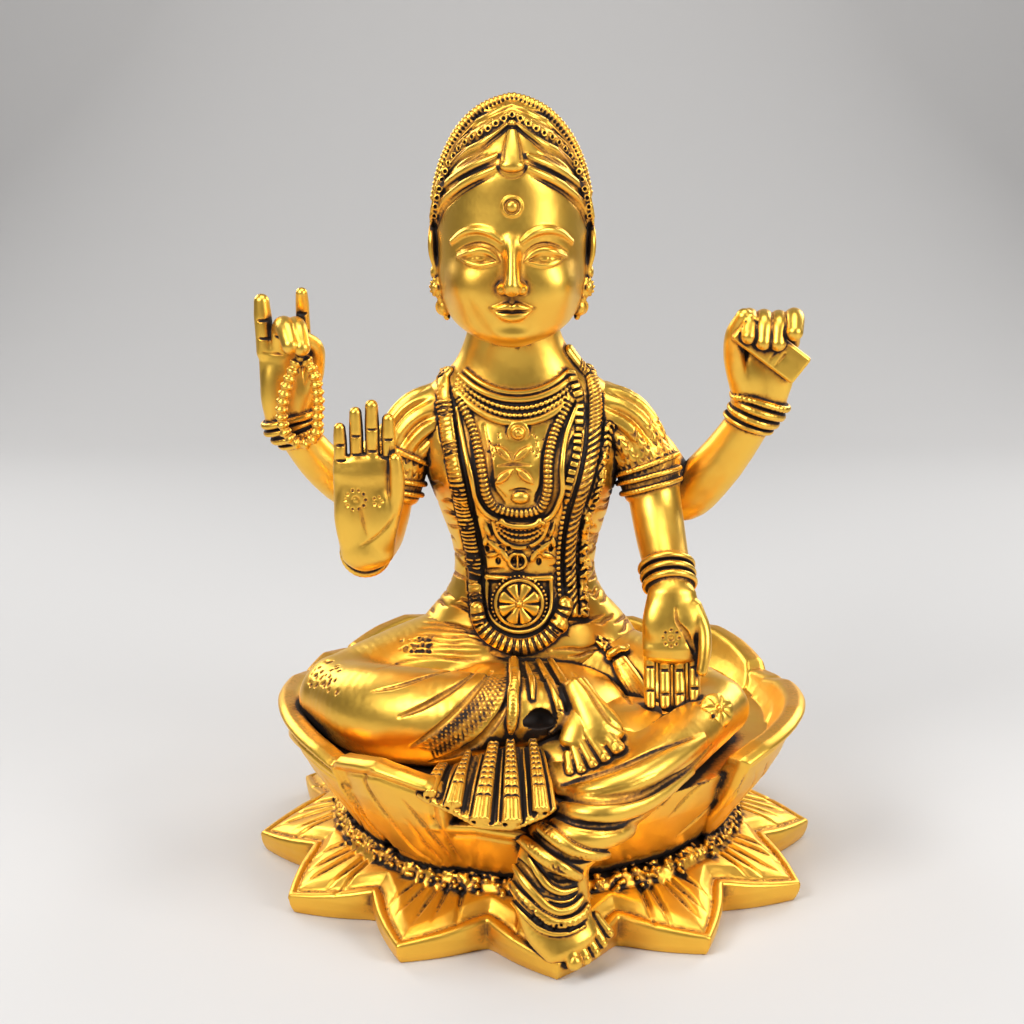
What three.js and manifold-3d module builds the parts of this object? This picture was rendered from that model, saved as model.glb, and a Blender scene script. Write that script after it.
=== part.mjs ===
// A seated four-armed goddess on a double lotus, cast in brass and gilt-polished.
// Millimetres, +Z up. She looks along -Y, with her right side at -X.
// The origin is on the table, under the middle of the lotus.
import * as THREE from "three";
import { mergeVertices } from "three/addons/utils/BufferGeometryUtils.js";
import Module from "manifold-3d";

const wasm = await Module();
wasm.setup();

// Driving dimensions.
const HEIGHT = 210;
const BASE_TIP = 79; // reach of the lower petals' points
const BASE_NOTCH = 65; // where two lower petals part
const BASE_TOP = 15; // height of the lower lotus at the cup's foot
const BASE_PETALS = 12;
const LOTUS_TURN = 3; // degrees the lower lotus is turned, seen from above
const CUP_FOOT = 51;
const CUP_MOUTH = 66;
const CUP_FLOOR = 40; // height of the surface the goddess sits on
const CUP_TIP = 49;
const FIGURE_FACES = 6100;
const GAP = 0.3; // between pieces that touch flat
const CLEARANCE = 0.45; // between the goddess and the petals round her
const BODY_X = -5; // the goddess sits a little to her right of the lotus's axis
const CHIN = 147;
const HAIRLINE = 187;
const HEAD_WIDTH = 41;
const ARCH_POWER = 2.5; // how full the diadem's arch is: 2 is an ellipse
const ARCH_POINT = 0.1; // how much of it runs straight up to the point

const rad = THREE.MathUtils.degToRad;
const lerp = THREE.MathUtils.lerp;
const V = (x, y, z) => new THREE.Vector3(x, y, z);
const vectors = (list) => list.map((p) => (p.isVector3 ? p : V(...p)));

// Value along a list of evenly spaced values, or a constant, at t from 0 to 1.
function along(values, t) {
  if (typeof values === "number") return values;
  const s = Math.min(t, 1) * (values.length - 1);
  const i = Math.min(Math.floor(s), values.length - 2);
  return lerp(values[i], values[i + 1], s - i);
}

// A closed skin through rings of points, each end closed by a fan about the ring's middle.
function skin(rings) {
  const n = rings[0].length;
  const points = rings.flat();
  const faces = [];
  for (let i = 0; i + 1 < rings.length; i++)
    for (let j = 0; j < n; j++) {
      const a = i * n + j;
      const b = i * n + ((j + 1) % n);
      faces.push(a, b, b + n, a, b + n, a + n);
    }
  [0, rings.length - 1].forEach((i) => {
    const middle = rings[i].reduce((sum, p) => sum.clone().add(p), V(0, 0, 0)).divideScalar(n);
    points.push(middle);
    for (let j = 0; j < n; j++) {
      const a = i * n + j;
      const b = i * n + ((j + 1) % n);
      if (i === 0) faces.push(points.length - 1, b, a);
      else faces.push(points.length - 1, a, b);
    }
  });
  return new THREE.BufferGeometry().setFromPoints(points).setIndex(faces);
}

// A geometry as a solid with its faces pointing out.
function solid(geometry) {
  const bare = geometry.clone();
  bare.deleteAttribute("normal");
  bare.deleteAttribute("uv");
  const merged = mergeVertices(bare, 1e-4);
  const index = merged.index.array;
  const kept = [];
  for (let i = 0; i < index.length; i += 3) {
    const [a, b, c] = [index[i], index[i + 1], index[i + 2]];
    if (a !== b && b !== c && c !== a) kept.push(a, b, c);
  }
  const build = (triangles) =>
    new wasm.Manifold(
      new wasm.Mesh({
        numProp: 3,
        vertProperties: new Float32Array(merged.attributes.position.array),
        triVerts: new Uint32Array(triangles),
      }),
    );
  const made = build(kept);
  if (made.volume() > 0) return made;
  for (let i = 0; i < kept.length; i += 3) [kept[i], kept[i + 1]] = [kept[i + 1], kept[i]];
  return build(kept);
}

const fuse = (geometries) => geometries.flat(Infinity).map(solid).reduce((a, b) => a.add(b));

// The skins of a joined solid, each as a list of corner indices: its outside, and any pocket closed in
// by the joins.
function skinsOf(mesh) {
  const parent = Array.from({ length: mesh.numVert }, (_, i) => i);
  const root = (i) => {
    while (parent[i] !== i) i = parent[i] = parent[parent[i]];
    return i;
  };
  const corners = mesh.triVerts;
  for (let i = 0; i < corners.length; i += 3) {
    parent[root(corners[i + 1])] = root(corners[i]);
    parent[root(corners[i + 2])] = root(corners[i]);
  }
  const skins = new Map();
  for (let i = 0; i < corners.length; i += 3) {
    const key = root(corners[i]);
    if (!skins.has(key)) skins.set(key, []);
    skins.get(key).push(corners[i], corners[i + 1], corners[i + 2]);
  }
  return [...skins.values()];
}

// The solid metal body inside the largest skin, with the closed pockets in it filled.
function toGeometry(made) {
  const mesh = made.getMesh();
  const position = new Float32Array(mesh.numVert * 3);
  for (let i = 0; i < mesh.numVert; i++)
    position.set(mesh.vertProperties.subarray(i * mesh.numProp, i * mesh.numProp + 3), i * 3);
  const outside = skinsOf(mesh).reduce((a, b) => (b.length > a.length ? b : a));
  const geometry = new THREE.BufferGeometry();
  geometry.setAttribute("position", new THREE.BufferAttribute(position, 3));
  geometry.setIndex(outside);
  return mergeVertices(geometry, 1e-5);
}

// The slivers that joins leave are worked out of a skin, down to about as many faces as asked: the edges
// whose loss moves the surface least are drawn together, a few at a time, wherever the skin stays closed
// and nothing folds over.
function eased(made, facesWanted) {
  const geometry = toGeometry(made);
  const at = geometry.attributes.position;
  const points = Array.from({ length: at.count }, (_, i) => V(0, 0, 0).fromBufferAttribute(at, i));
  let faces = [];
  for (let i = 0; i < geometry.index.count; i += 3) {
    faces.push([0, 1, 2].map((k) => geometry.index.getX(i + k)));
  }

  const planeOf = ([a, b, c]) => new THREE.Plane().setFromCoplanarPoints(points[a], points[b], points[c]);
  const planes = points.map(() => []);
  faces.forEach((face) => {
    const plane = planeOf(face);
    plane.weight = new THREE.Triangle(...face.map((i) => points[i])).getArea();
    face.forEach((i) => planes[i].push(plane));
  });
  const loss = (known, point) =>
    known.reduce((sum, p) => sum + p.weight * p.distanceToPoint(point) ** 2, 0);

  while (faces.length > facesWanted) {
    const around = points.map(() => []);
    faces.forEach((face) => face.forEach((i) => around[i].push(face)));
    const edges = [];
    faces.forEach(([a, b, c]) =>
      [[a, b], [b, c], [c, a]].forEach(([from, to]) => {
        if (from > to) return;
        const known = [...planes[from], ...planes[to]];
        const places = [points[from], points[to], points[from].clone().lerp(points[to], 0.5)];
        const shortness = 1e-4 * points[from].distanceToSquared(points[to]);
        const losses = places.map((place) => loss(known, place) + shortness);
        const best = losses.indexOf(Math.min(...losses));
        edges.push({ from, to, place: places[best].clone(), cost: losses[best] });
      }),
    );
    edges.sort((a, b) => a.cost - b.cost);
    const touched = new Set();
    let left = Math.max(20, Math.round((faces.length - facesWanted) / 8));
    for (const { from, to, place } of edges) {
      if (left <= 0) break;
      const near = [...around[from], ...around[to]].flat();
      if (near.some((i) => touched.has(i))) continue;
      const ring = (i) => new Set(around[i].flat().filter((j) => j !== i));
      const [ringFrom, ringTo] = [ring(from), ring(to)];
      if ([...ringFrom].filter((i) => ringTo.has(i)).length !== 2) continue;
      const folds = [...around[from], ...around[to]].some((face) => {
        if (face.includes(from) && face.includes(to)) return false;
        const moved = face.map((i) => (i === from || i === to ? place : points[i]));
        const after = new THREE.Triangle(...moved);
        const normal = after.getNormal(V(0, 0, 0));
        return after.getArea() < 1e-3 || normal.dot(planeOf(face).normal) < 0.5;
      });
      if (folds) continue;
      near.forEach((i) => touched.add(i));
      points[from].copy(place);
      planes[from] = [...planes[from], ...planes[to]];
      around[to].forEach((face) => {
        face[face.indexOf(to)] = from;
      });
      left -= 1;
    }
    const kept = faces.filter(([a, b, c]) => a !== b && b !== c && c !== a);
    if (kept.length === faces.length) break;
    faces = kept;
  }
  return solid(new THREE.BufferGeometry().setFromPoints(points).setIndex(faces.flat()));
}

// A tapering round or oval form along a path, with domed ends. width and thick are half sizes,
// given once or for each path point; face is the direction that the thickness is measured in.
// flutes and depth raise that many lengthwise folds round it. Each of the rolls, [from, to, count, height],
// is a stretch of raised rings, such as bangles.
function limb(path, width, options = {}) {
  const { thick = width, face = V(0, -1, 0), sides = 6, rings = 5, rolls = [] } = options;
  const { flutes = 0, depth = 0, dome = 0.55 } = options;
  const curve = new THREE.CatmullRomCurve3(vectors(path), false, "centripetal");
  const section = ({ t, proud = 0, scale = 1, shift = 0 }) => {
    const middle = curve.getPoint(t);
    const ahead = curve.getTangent(t);
    const side = V(0, 0, 0).crossVectors(ahead, face).normalize();
    const front = V(0, 0, 0).crossVectors(side, ahead).normalize();
    middle.addScaledVector(ahead, shift * along(thick, t));
    return Array.from({ length: sides }, (_, j) => {
      const angle = ((j + 0.5) / sides) * 2 * Math.PI;
      const fold = 1 + (flutes ? depth * Math.cos(flutes * angle) : 0);
      return middle
        .clone()
        .addScaledVector(side, Math.cos(angle) * (along(width, t) * scale * fold + proud))
        .addScaledVector(front, Math.sin(angle) * (along(thick, t) * scale * fold + proud));
    });
  };
  const inRoll = (t) => rolls.some(([from, to]) => t > from - 0.03 && t < to + 0.03);
  const even = Array.from({ length: rings }, (_, i) => ({ t: i / (rings - 1) }));
  const plain = even.filter(({ t }) => !inRoll(t));
  const raised = rolls.flatMap(([from, to, count, height]) =>
    Array.from({ length: 2 * count + 1 }, (_, i) => ({
      t: lerp(from, to, i / (2 * count)),
      proud: (i % 2) * height,
    })),
  );
  const stations = [...plain, ...raised].sort((a, b) => a.t - b.t);
  const ends = dome ? [{ t: 0, scale: 0.6, shift: -dome }, { t: 1, scale: 0.6, shift: dome }] : [];
  return skin([...ends.slice(0, 1), ...stations, ...ends.slice(1)].map(section));
}

function ball(x, y, z, rx, ry = rx, rz = rx, across = 6, down = 4) {
  const round = new THREE.SphereGeometry(1, across, down);
  return round.rotateX(Math.PI / 2).scale(rx, ry, rz).translate(x, y, z);
}

// A turned form on an axis: profile is [radius, distance along the axis] from end to end.
function turned(profile, base, axis, sides) {
  const lathe = new THREE.LatheGeometry(profile.map(([r, h]) => new THREE.Vector2(r, h)), sides);
  const turn = new THREE.Quaternion().setFromUnitVectors(V(0, 1, 0), V(...axis).normalize());
  return lathe.applyQuaternion(turn).translate(...base);
}

// Lower lotus: one petal, pointing along -Y. It has a flat ledge all round and a swollen field inside it.
function basePetal() {
  const root = 46;
  const half = BASE_NOTCH * Math.tan(Math.PI / BASE_PETALS) + 0.6;
  const stations = [0, 0.52, 0.74, 1];
  const widths = [0.72, 0.99, 0.72, 0.03];
  const across = [-1, -1, -0.76, 0, 0.76, 1, 1];
  const swell = [0, 0, -0.3, 1.8, -0.3, 0, 0];
  const rings = stations.map((v, i) => {
    const reach = lerp(root, BASE_TIP, v);
    const ledge = lerp(BASE_TOP - 2.2, 5.2, v ** 1.15);
    const full = Math.min(1, 1.6 * (1 - v));
    return across.map((u, j) => {
      if (j === 0 || j === across.length - 1) return V(u * widths[i] * half * 0.97, 0.8 - reach, 0);
      return V(u * widths[i] * half, -reach, ledge + swell[j] * full);
    });
  });
  return skin(rings);
}

function lotusBase() {
  const core = [
    [0, 0],
    [61, 0],
    [61, 8],
    [57, 12.5],
    [CUP_FOOT + 4, BASE_TOP - 1.2],
    [CUP_FOOT + 3, BASE_TOP],
    [0, BASE_TOP],
  ];
  const petals = Array.from({ length: BASE_PETALS }, (_, k) =>
    basePetal().rotateZ(rad(LOTUS_TURN) + (k * 2 * Math.PI) / BASE_PETALS),
  );
  return fuse([turned(core, [0, 0, 0], [0, 0, 1], 24), petals]);
}

// Radius of the cup's wall, v from 0 at the foot to 1 at the petals' points.
const CUP_WALL = [CUP_FOOT, 55.5, 60, 64, 67, 69, 70];

// Upper lotus: the direction of each outer petal, in degrees from the front, the one behind it, and how
// high their points stand. The wall is bare under the hanging leg.
const CUP_PETALS = [
  { angle: -146, behind: -117, tip: CUP_TIP },
  { angle: -88, behind: -63, tip: CUP_TIP - 1 },
  { angle: -38, behind: -14, tip: CUP_TIP - 2, behindTip: CUP_FLOOR - 4 },
  { angle: 69, behind: 95, tip: CUP_TIP },
  { angle: 128, behind: 154, tip: CUP_TIP + 1 },
  { angle: 178, behind: -164, tip: CUP_TIP + 1 },
];

// One petal of the cup, centred at angle degrees from the front and reaching half degrees each way.
// grow swells it.
function cupPetal(angle, half, proud, tip, grow) {
  const columns = [-1, -0.45, 0.45, 1];
  const stations = [0, 0.4, 0.68, 0.88, 1];
  const widths = [0.6, 0.95, 0.95, 0.52, 0.08];
  const wallThick = [8, 8, 5.5, 4.2, 3.4];
  const rings = stations.map((v, i) => {
    const place = (u, inset) => {
      const turn = rad(angle + u * widths[i] * half) + (Math.sign(u) * grow) / CUP_MOUTH;
      const belly = proud * (1 - u * u) + (v > 0.7 ? 0.8 * (v - 0.7) / 0.3 : 0);
      const radius = along(CUP_WALL, v) + belly - inset + (inset ? -grow : grow);
      const height = lerp(BASE_TOP + GAP, tip + grow, v);
      return V(Math.sin(turn) * radius, -Math.cos(turn) * radius, height);
    };
    const outer = columns.map((u) => place(u, 0));
    const inner = [...columns].reverse().map((u) => place(u, wallThick[i]));
    return [...outer, ...inner];
  });
  return skin(rings);
}

// The whole cup, or one swollen by grow for the clearance under the goddess.
function lotusSeat(grow = 0) {
  const core = [
    [0, BASE_TOP + GAP],
    [CUP_FOOT - 0.5 + grow, BASE_TOP + GAP],
    [56.5 + grow, 23],
    [61.5 + grow, 32],
    [64.5 + grow, CUP_FLOOR + grow],
    [0, CUP_FLOOR + grow],
  ];
  const petals = CUP_PETALS.map(({ angle, behind, tip, behindTip = tip - 2.5 }) => [
    cupPetal(angle, 24, 2.4, tip, grow),
    cupPetal(behind, 21, 1, behindTip, grow),
  ]);
  return fuse([turned(core, [0, 0, 0], [0, 0, 1], 24), petals]);
}

// Torso: level, half width and half depth of its sections, from the seat to the neck.
const TORSO = [
  { z: 46, a: 30, b: 21, x: 2, y: 6 },
  { z: 60, a: 28, b: 19.5, x: 2, y: 4.5 },
  { z: 71, a: 23.5, b: 15.5, x: 1.5, y: 4 },
  { z: 80, a: 19.6, b: 13, x: 1.5, y: 4 },
  { z: 88, a: 19.8, b: 13, x: 1.5, y: 3.8 },
  { z: 99, a: 23, b: 15, x: 1.2, y: 3 },
  { z: 112, a: 27, b: 16, x: 0.6, y: 2.6 },
  { z: 123, a: 29, b: 13.8, x: 0.2, y: 3.6 },
  { z: 131, a: 24, b: 11.2, x: 0, y: 4 },
  { z: 138, a: 12.5, b: 9.8, x: -1, y: 3.8 },
  { z: 150, a: 11, b: 10, x: -1.6, y: 2.8 },
];

function torsoAt(z) {
  const i = Math.max(0, Math.min(TORSO.length - 2, TORSO.findIndex((s) => s.z > z) - 1));
  const [low, high] = [TORSO[i], TORSO[i + 1]];
  const t = (z - low.z) / (high.z - low.z);
  return Object.fromEntries(["x", "y", "a", "b"].map((k) => [k, lerp(low[k], high[k], t)]));
}

// The point of the chest or belly at x, measured from the body's axis, and height z.
function onTorso(x, z, lift = 0) {
  const s = torsoAt(z);
  const across = Math.max(-0.97, Math.min(0.97, (x - s.x) / s.a));
  return V(BODY_X + s.x + s.a * across, s.y - (s.b + lift) * Math.sqrt(1 - across * across), z);
}

// A closed skin through level oval sections.
function ovals(sections, sides) {
  return skin(
    sections.map(({ z, a, b, x, y }) =>
      Array.from({ length: sides }, (_, j) => {
        const angle = ((j + 0.5) / sides) * 2 * Math.PI;
        return V(x + a * Math.cos(angle), y + b * Math.sin(angle), z);
      }),
    ),
  );
}

const torso = () => ovals(TORSO.map((s) => ({ ...s, x: s.x + BODY_X })), 12);

// A strand laid on the chest through [x, z] points.
function strand(points, radius, options = {}) {
  const lift = options.lift ?? 0.4 * radius;
  const path = points.map(([x, z]) => onTorso(x, z, lift));
  return limb(path, radius, { sides: 3, rings: 6, dome: 0, ...options });
}

// The same points on both sides of the body's axis, from her right to her left.
const mirrored = (points) => [...points.map(([x, z]) => [-x, z]), ...[...points].reverse()];

function necklaces() {
  const collar = [0, 1].map((k) => {
    const half = [[16 + k, 137], [9, 133 - 4.5 * k], [3, 131 - 5 * k]];
    return strand(mirrored(half), 2, { rings: 5 });
  });
  const long = mirrored([[16, 134], [11, 124], [9, 112], [5.5, 105.5], [1, 103.8]]);
  const crescent = mirrored([[9, 101], [5.5, 94.5], [1.5, 92]]);
  const boss = onTorso(0, 122.5, 1);
  const leaf = onTorso(0, 87.5, 0.6);
  return [
    collar,
    strand(long, 2, { rings: 9 }),
    strand(crescent, 2.6, { rings: 5 }),
    ball(boss.x, boss.y, boss.z, 2.8, 2, 2.8),
    ball(leaf.x, leaf.y, leaf.z, 4.4, 1.8, 4),
  ];
}

// The garlands: a broad banded one down her right side and two roped ones down her left, the outer one
// tied in a tassel on the thigh, and a swag that joins them below the buckle.
function garlands() {
  const right = [[-20.5, 136], [-21.2, 124], [-19, 109], [-16.3, 93], [-14, 78], [-11.5, 70]];
  const left = [[17, 137], [21.5, 130], [20.8, 119], [15, 102], [12, 86], [11.5, 74]];
  const outer = [[22, 112], [20.5, 98], [18, 82], [17, 72]];
  const swag = mirrored([[12, 71], [9, 65], [2, 61.5]]);
  const tassel = [onTorso(17, 73), [21, -17, 64], [27, -22, 59], [32, -26, 54]];
  return [
    strand(right, 3.6, { thick: 2.4, rings: 7, sides: 4 }),
    strand(left, 3, { thick: 2.4, rings: 7, sides: 4 }),
    strand(outer, 2.2, { rings: 4 }),
    strand(swag, 2.5, { rings: 5, lift: 2 }),
    limb(tassel, [2, 2, 2.4, 4.4], { sides: 4, rings: 4, dome: 0 }),
  ];
}

function belt() {
  const level = 75;
  const line = [[-17, 77], [-9, 76], [0, 75.5], [9, 76], [20, 77]];
  const band = strand(line, 4.2, { thick: 1.6, sides: 4, rings: 5 });
  const middle = onTorso(0, level, 1.2);
  const disc = [[0, 0], [8.4, 0], [8.4, 2.6], [6.4, 2.6], [5.6, 1.8], [0, 3]];
  const petals = Array.from({ length: 4 }, (_, k) => {
    const turn = (k * Math.PI) / 4;
    const reach = V(Math.cos(turn), 0, Math.sin(turn)).multiplyScalar(5.2);
    const centre = middle.clone().add(V(0, -2.6, 0));
    const ends = [centre.clone().sub(reach), centre.clone().add(reach)];
    return limb(ends, 1.2, { sides: 3, rings: 2, dome: 0 });
  });
  return [band, turned(disc, middle.toArray(), [0, -1, 0.12], 10), petals];
}

// Head: sections from the chin to the top of the hair. The face's own parts are set by thirds and fifths.
const HEAD_X = BODY_X - 2;
const THIRD = (HAIRLINE - CHIN) / 3;
const NOSE_BASE = CHIN + THIRD;
const BROW = CHIN + 2 * THIRD;
const EYE = BROW - 0.3 * THIRD;
const MOUTH = NOSE_BASE - THIRD / 3;

function head() {
  const half = HEAD_WIDTH / 2;
  const levels = [
    [CHIN, 0.3, 0.26, -9],
    [CHIN + 4, 0.66, 0.68, -4],
    [NOSE_BASE - 2, 0.9, 0.92, -1],
    [EYE, 1, 1.04, 0.5],
    [BROW + 8, 1.0, 1.06, 1.5],
    [HAIRLINE + 5, 0.9, 0.94, 2],
    [HAIRLINE + 14, 0.62, 0.66, 3.5],
    [HAIRLINE + 18, 0.3, 0.35, 4],
  ];
  return ovals(levels.map(([z, a, b, y]) => ({ z, a: a * half, b: b * half, x: HEAD_X, y })), 14);
}

function face() {
  const front = -HEAD_WIDTH / 2;
  const eyeWidth = HEAD_WIDTH / 5;
  const sides = [-1, 1].map((s) => {
    const x = HEAD_X + s * eyeWidth;
    const brow = [
      [x - s * 4.4, front + 0.6, BROW - 0.6],
      [x + s * 0.5, front + 1.4, BROW + 1.4],
      [x + s * 5.4, front + 5, BROW - 1],
    ];
    const lid = ball(x, front + 2.4, EYE, eyeWidth / 2, 1.9, 2.1);
    return [lid, limb(brow, 0.9, { sides: 4, rings: 3, dome: 0 })];
  });
  const bridge = [[HEAD_X, front - 0.2, BROW - 2], [HEAD_X, front - 2.2, NOSE_BASE + 1.6]];
  return [
    sides,
    limb(bridge, [1.4, 2.6], { thick: [1.4, 2], sides: 5, rings: 2 }),
    ball(HEAD_X, front + 2.2, MOUTH, eyeWidth / 2, 2.3, 1.9),
    ball(HEAD_X, front - 0.2, BROW + 4.6, 1.8, 1.3, 1.8),
  ];
}

// The diadem: a pointed arch that stands up round the hair from ear to ear, with a rolled edge.
function diadem() {
  const foot = 167;
  const rise = HEIGHT - 1 - foot;
  const steps = 12;
  const edge = Array.from({ length: steps + 1 }, (_, i) => {
    const k = Math.sin(lerp(-Math.PI / 2, Math.PI / 2, i / steps));
    const rounded = (1 - Math.abs(k) ** ARCH_POWER) ** (1 / ARCH_POWER);
    const height = lerp(rounded, 1 - Math.abs(k), ARCH_POINT);
    return [HEAD_X + k * (HEAD_WIDTH / 2 + 1), foot + rise * height];
  });
  const outline = new THREE.Shape(edge.map(([x, z]) => new THREE.Vector2(x, z)));
  const plate = new THREE.ExtrudeGeometry(outline, { depth: 7, bevelEnabled: false });
  plate.rotateX(Math.PI / 2).translate(0, 1, 0);
  const arch = (shrinkX, shrinkZ, y) =>
    edge.map(([x, z]) => V(lerp(x, HEAD_X, shrinkX), y, lerp(z, foot, shrinkZ)));
  return [
    plate,
    limb(arch(0.02, 0.02, -5.5), 1.6, { sides: 4, rings: 13, dome: 0 }),
    limb(arch(0.06, 0.19, -8.5), 1.9, { thick: 3.4, sides: 4, rings: 11, dome: 0 }),
  ];
}

// Parted hair drawn back under the diadem, the drop on the brow, and the ears with their rings.
function hairDress() {
  const front = -HEAD_WIDTH / 2;
  const sides = [-1, 1].map((s) => {
    const hair = [[2, 0.8, 0.5], [9, 2.6, -0.5], [15.5, 7.8, -4.5], [20, 15, -9.5]];
    const drawn = hair.map(([a, b, c]) => V(HEAD_X + s * a, front + b, HAIRLINE + c));
    const x = HEAD_X + s * (HEAD_WIDTH / 2 + 0.8);
    return [
      limb(drawn, 1.7, { sides: 4, rings: 5, dome: 0 }),
      ball(x, 1, EYE - 1, 1.8, 3.4, 6.4),
      ball(x + s * 0.2, -1, NOSE_BASE - 2.2, 3.2, 3.1, 4.4),
    ];
  });
  const drop = [[HEAD_X, front + 2.6, HAIRLINE + 9], [HEAD_X, front - 0.2, HAIRLINE + 0.5]];
  return [sides, limb(drop, [1.8, 3.1], { rings: 2 })];
}

// Hair behind: a full round mass at the nape, and one plait down the back.
function plait() {
  const path = [
    [HEAD_X + 1, 19, 158],
    [BODY_X + 1, 16, 138],
    [BODY_X + 1, 18.5, 118],
    [BODY_X + 1, 17, 96],
    [BODY_X + 1, 19, 76],
  ];
  return [
    ball(HEAD_X, 12, 177, 18.5, 13.5, 20, 8, 6),
    ball(HEAD_X + 0.5, 14, 158, 10, 7.5, 10),
    limb(path, [5, 4.6, 4.2, 3.6, 2.6], { rings: 2, rolls: [[0.12, 0.98, 5, 1.2]], sides: 5 }),
  ];
}

// Hand: a palm and five fingers. wrist is its place, up points to the fingertips, palm is the way the palm
// faces and palmShare is its part of the length; curls are how far the thumb closes, from 0 to 1, and how
// many degrees each joint of the other fingers folds.
function hand({ wrist, up, palm, thumbSide, curls, length = 36, palmShare = 0.52 }) {
  const u = V(...up).normalize();
  const f = V(...palm).addScaledVector(u, -V(...palm).dot(u)).normalize();
  const s = V(0, 0, 0).crossVectors(u, f).multiplyScalar(thumbSide);
  const at = (a, b, c) => V(...wrist).addScaledVector(u, a).addScaledVector(s, b).addScaledVector(f, c);
  const half = 0.19 * length;
  const palmLength = palmShare * length;
  const fingerEnds = { thick: [2.1, 1.6], sides: 4, face: f, dome: 0.5 };
  const heel = [at(-1, 0, 0), at(palmLength * 0.5, 0.2, 0), at(palmLength, -0.3, 0)];
  const close = curls[0];
  const thumb = [
    at(palmLength * 0.3, half * 0.7, 0.5),
    at(palmLength * 0.75, half * 1.1 + 1, 1.5 + 3 * close),
    at(palmLength * 1.12, half * (1.05 - 0.8 * close) + 1, 2 + 5 * close),
  ];
  const reaches = [0.92, 1, 0.94, 0.75];
  const fingers = reaches.map((reach, k) => {
    const across = half * (0.75 - 0.5 * k);
    const step = (reach * (length - palmLength)) / 3;
    let [a, c] = [palmLength - 1.5, 0];
    const joints = [at(a, across, c)];
    for (let j = 1; j <= 3; j++) {
      const turn = rad(curls[k + 1]) * (j - 0.4);
      a += step * Math.cos(turn);
      c += step * Math.sin(turn);
      joints.push(at(a, across * (1 + 0.06 * j), c));
    }
    return limb(joints, [2.5, 1.9], { ...fingerEnds, rings: curls[k + 1] > 20 ? 4 : 2 });
  });
  return [
    limb(heel, [half * 0.72, half * 1.06, half], { thick: [4, 4.2, 2.8], face: f, rings: 3, dome: 0.3 }),
    limb(thumb, [2.7, 2.1, 1.7], { ...fingerEnds, thick: 2.2, rings: 3 }),
    fingers,
  ];
}

// Upper arm in a short pleated sleeve, which ends in two armlets.
function sleeve(side, path, size) {
  return limb(path, size, {
    sides: 10,
    rings: 3,
    flutes: 5,
    depth: 0.05,
    face: V(side, 0, 0.2),
    rolls: [[0.76, 0.98, 2, 1.4]],
    dome: 0.2,
  });
}

function frontArms() {
  const x = BODY_X;
  const rightSleeve = [[x - 21, 4, 124], [x - 28.5, 3, 119.5], [x - 32.5, 1, 111], [x - 34, -0.5, 103.5]];
  const rightArm = [
    [x - 33.5, 0, 110],
    [x - 35.5, -2, 100],
    [x - 37, -10, 94.5],
    [x - 39, -24, 94],
    [x - 39.2, -34, 98],
  ];
  const rightHand = {
    wrist: [x - 38.8, -36, 98],
    up: [0.01, -0.06, 1],
    palm: [0, -1, 0.05],
    thumbSide: 1,
    curls: [0, 2, 2, 3, 4],
    palmShare: 0.6,
  };
  const leftSleeve = [[x + 21, 4, 124], [x + 29.5, 3, 119.5], [x + 34, 1, 111.5], [x + 36, -0.5, 105]];
  const leftArm = [[x + 35.6, 0, 112], [x + 36.6, -2, 102], [x + 38, -9, 93], [x + 39.7, -20, 82]];
  const leftHand = {
    wrist: [x + 40, -23, 80],
    up: [0.02, -0.36, -0.93],
    palm: [0, -0.93, 0.36],
    thumbSide: -1,
    curls: [0.15, 6, 6, 6, 8],
    length: 31,
  };
  return [
    sleeve(-1, rightSleeve, [8, 8.6, 7.6, 6.2]),
    limb(rightArm, [6, 6.4, 6.2, 5.2, 4.4], { rings: 6, rolls: [[0.82, 0.98, 2, 1.5]] }),
    hand(rightHand),
    sleeve(1, leftSleeve, [8, 9, 8.2, 7]),
    limb(leftArm, [7, 7.2, 6.4, 5.2], { rings: 5, rolls: [[0.78, 0.97, 2, 1.6]] }),
    hand(leftHand),
  ];
}

function backArms() {
  const x = BODY_X;
  const rightArm = [
    [x - 24, 8, 124],
    [x - 36, 12, 112],
    [x - 45, 12, 103],
    [x - 53, 7, 109],
    [x - 60.5, 1, 121],
  ];
  const rightHand = {
    wrist: [x - 61.5, 0, 122],
    up: [-0.03, -0.05, 1],
    palm: [0.25, -1, 0],
    thumbSide: 1,
    curls: [0.7, 8, 58, 54, 0],
    length: 34,
  };
  const leftArm = [
    [x + 24, 8, 124],
    [x + 36, 12, 110],
    [x + 45, 12, 99],
    [x + 54, 8, 110],
    [x + 64, 2, 127],
  ];
  const leftHand = {
    wrist: [x + 65, 1, 129],
    up: [0.05, -0.1, 1],
    palm: [-0.1, -1, 0.2],
    thumbSide: -1,
    curls: [0.6, 50, 56, 56, 48],
    length: 33,
  };
  return [
    limb(rightArm, [7.4, 7.2, 7, 6.4, 4.8], { rings: 6, rolls: [[0.8, 0.97, 3, 1.5]] }),
    hand(rightHand),
    limb(leftArm, [7.8, 7.6, 7.6, 7, 5.4], { rings: 7, rolls: [[0.82, 0.98, 3, 1.6]] }),
    hand(leftHand),
  ];
}

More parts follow.
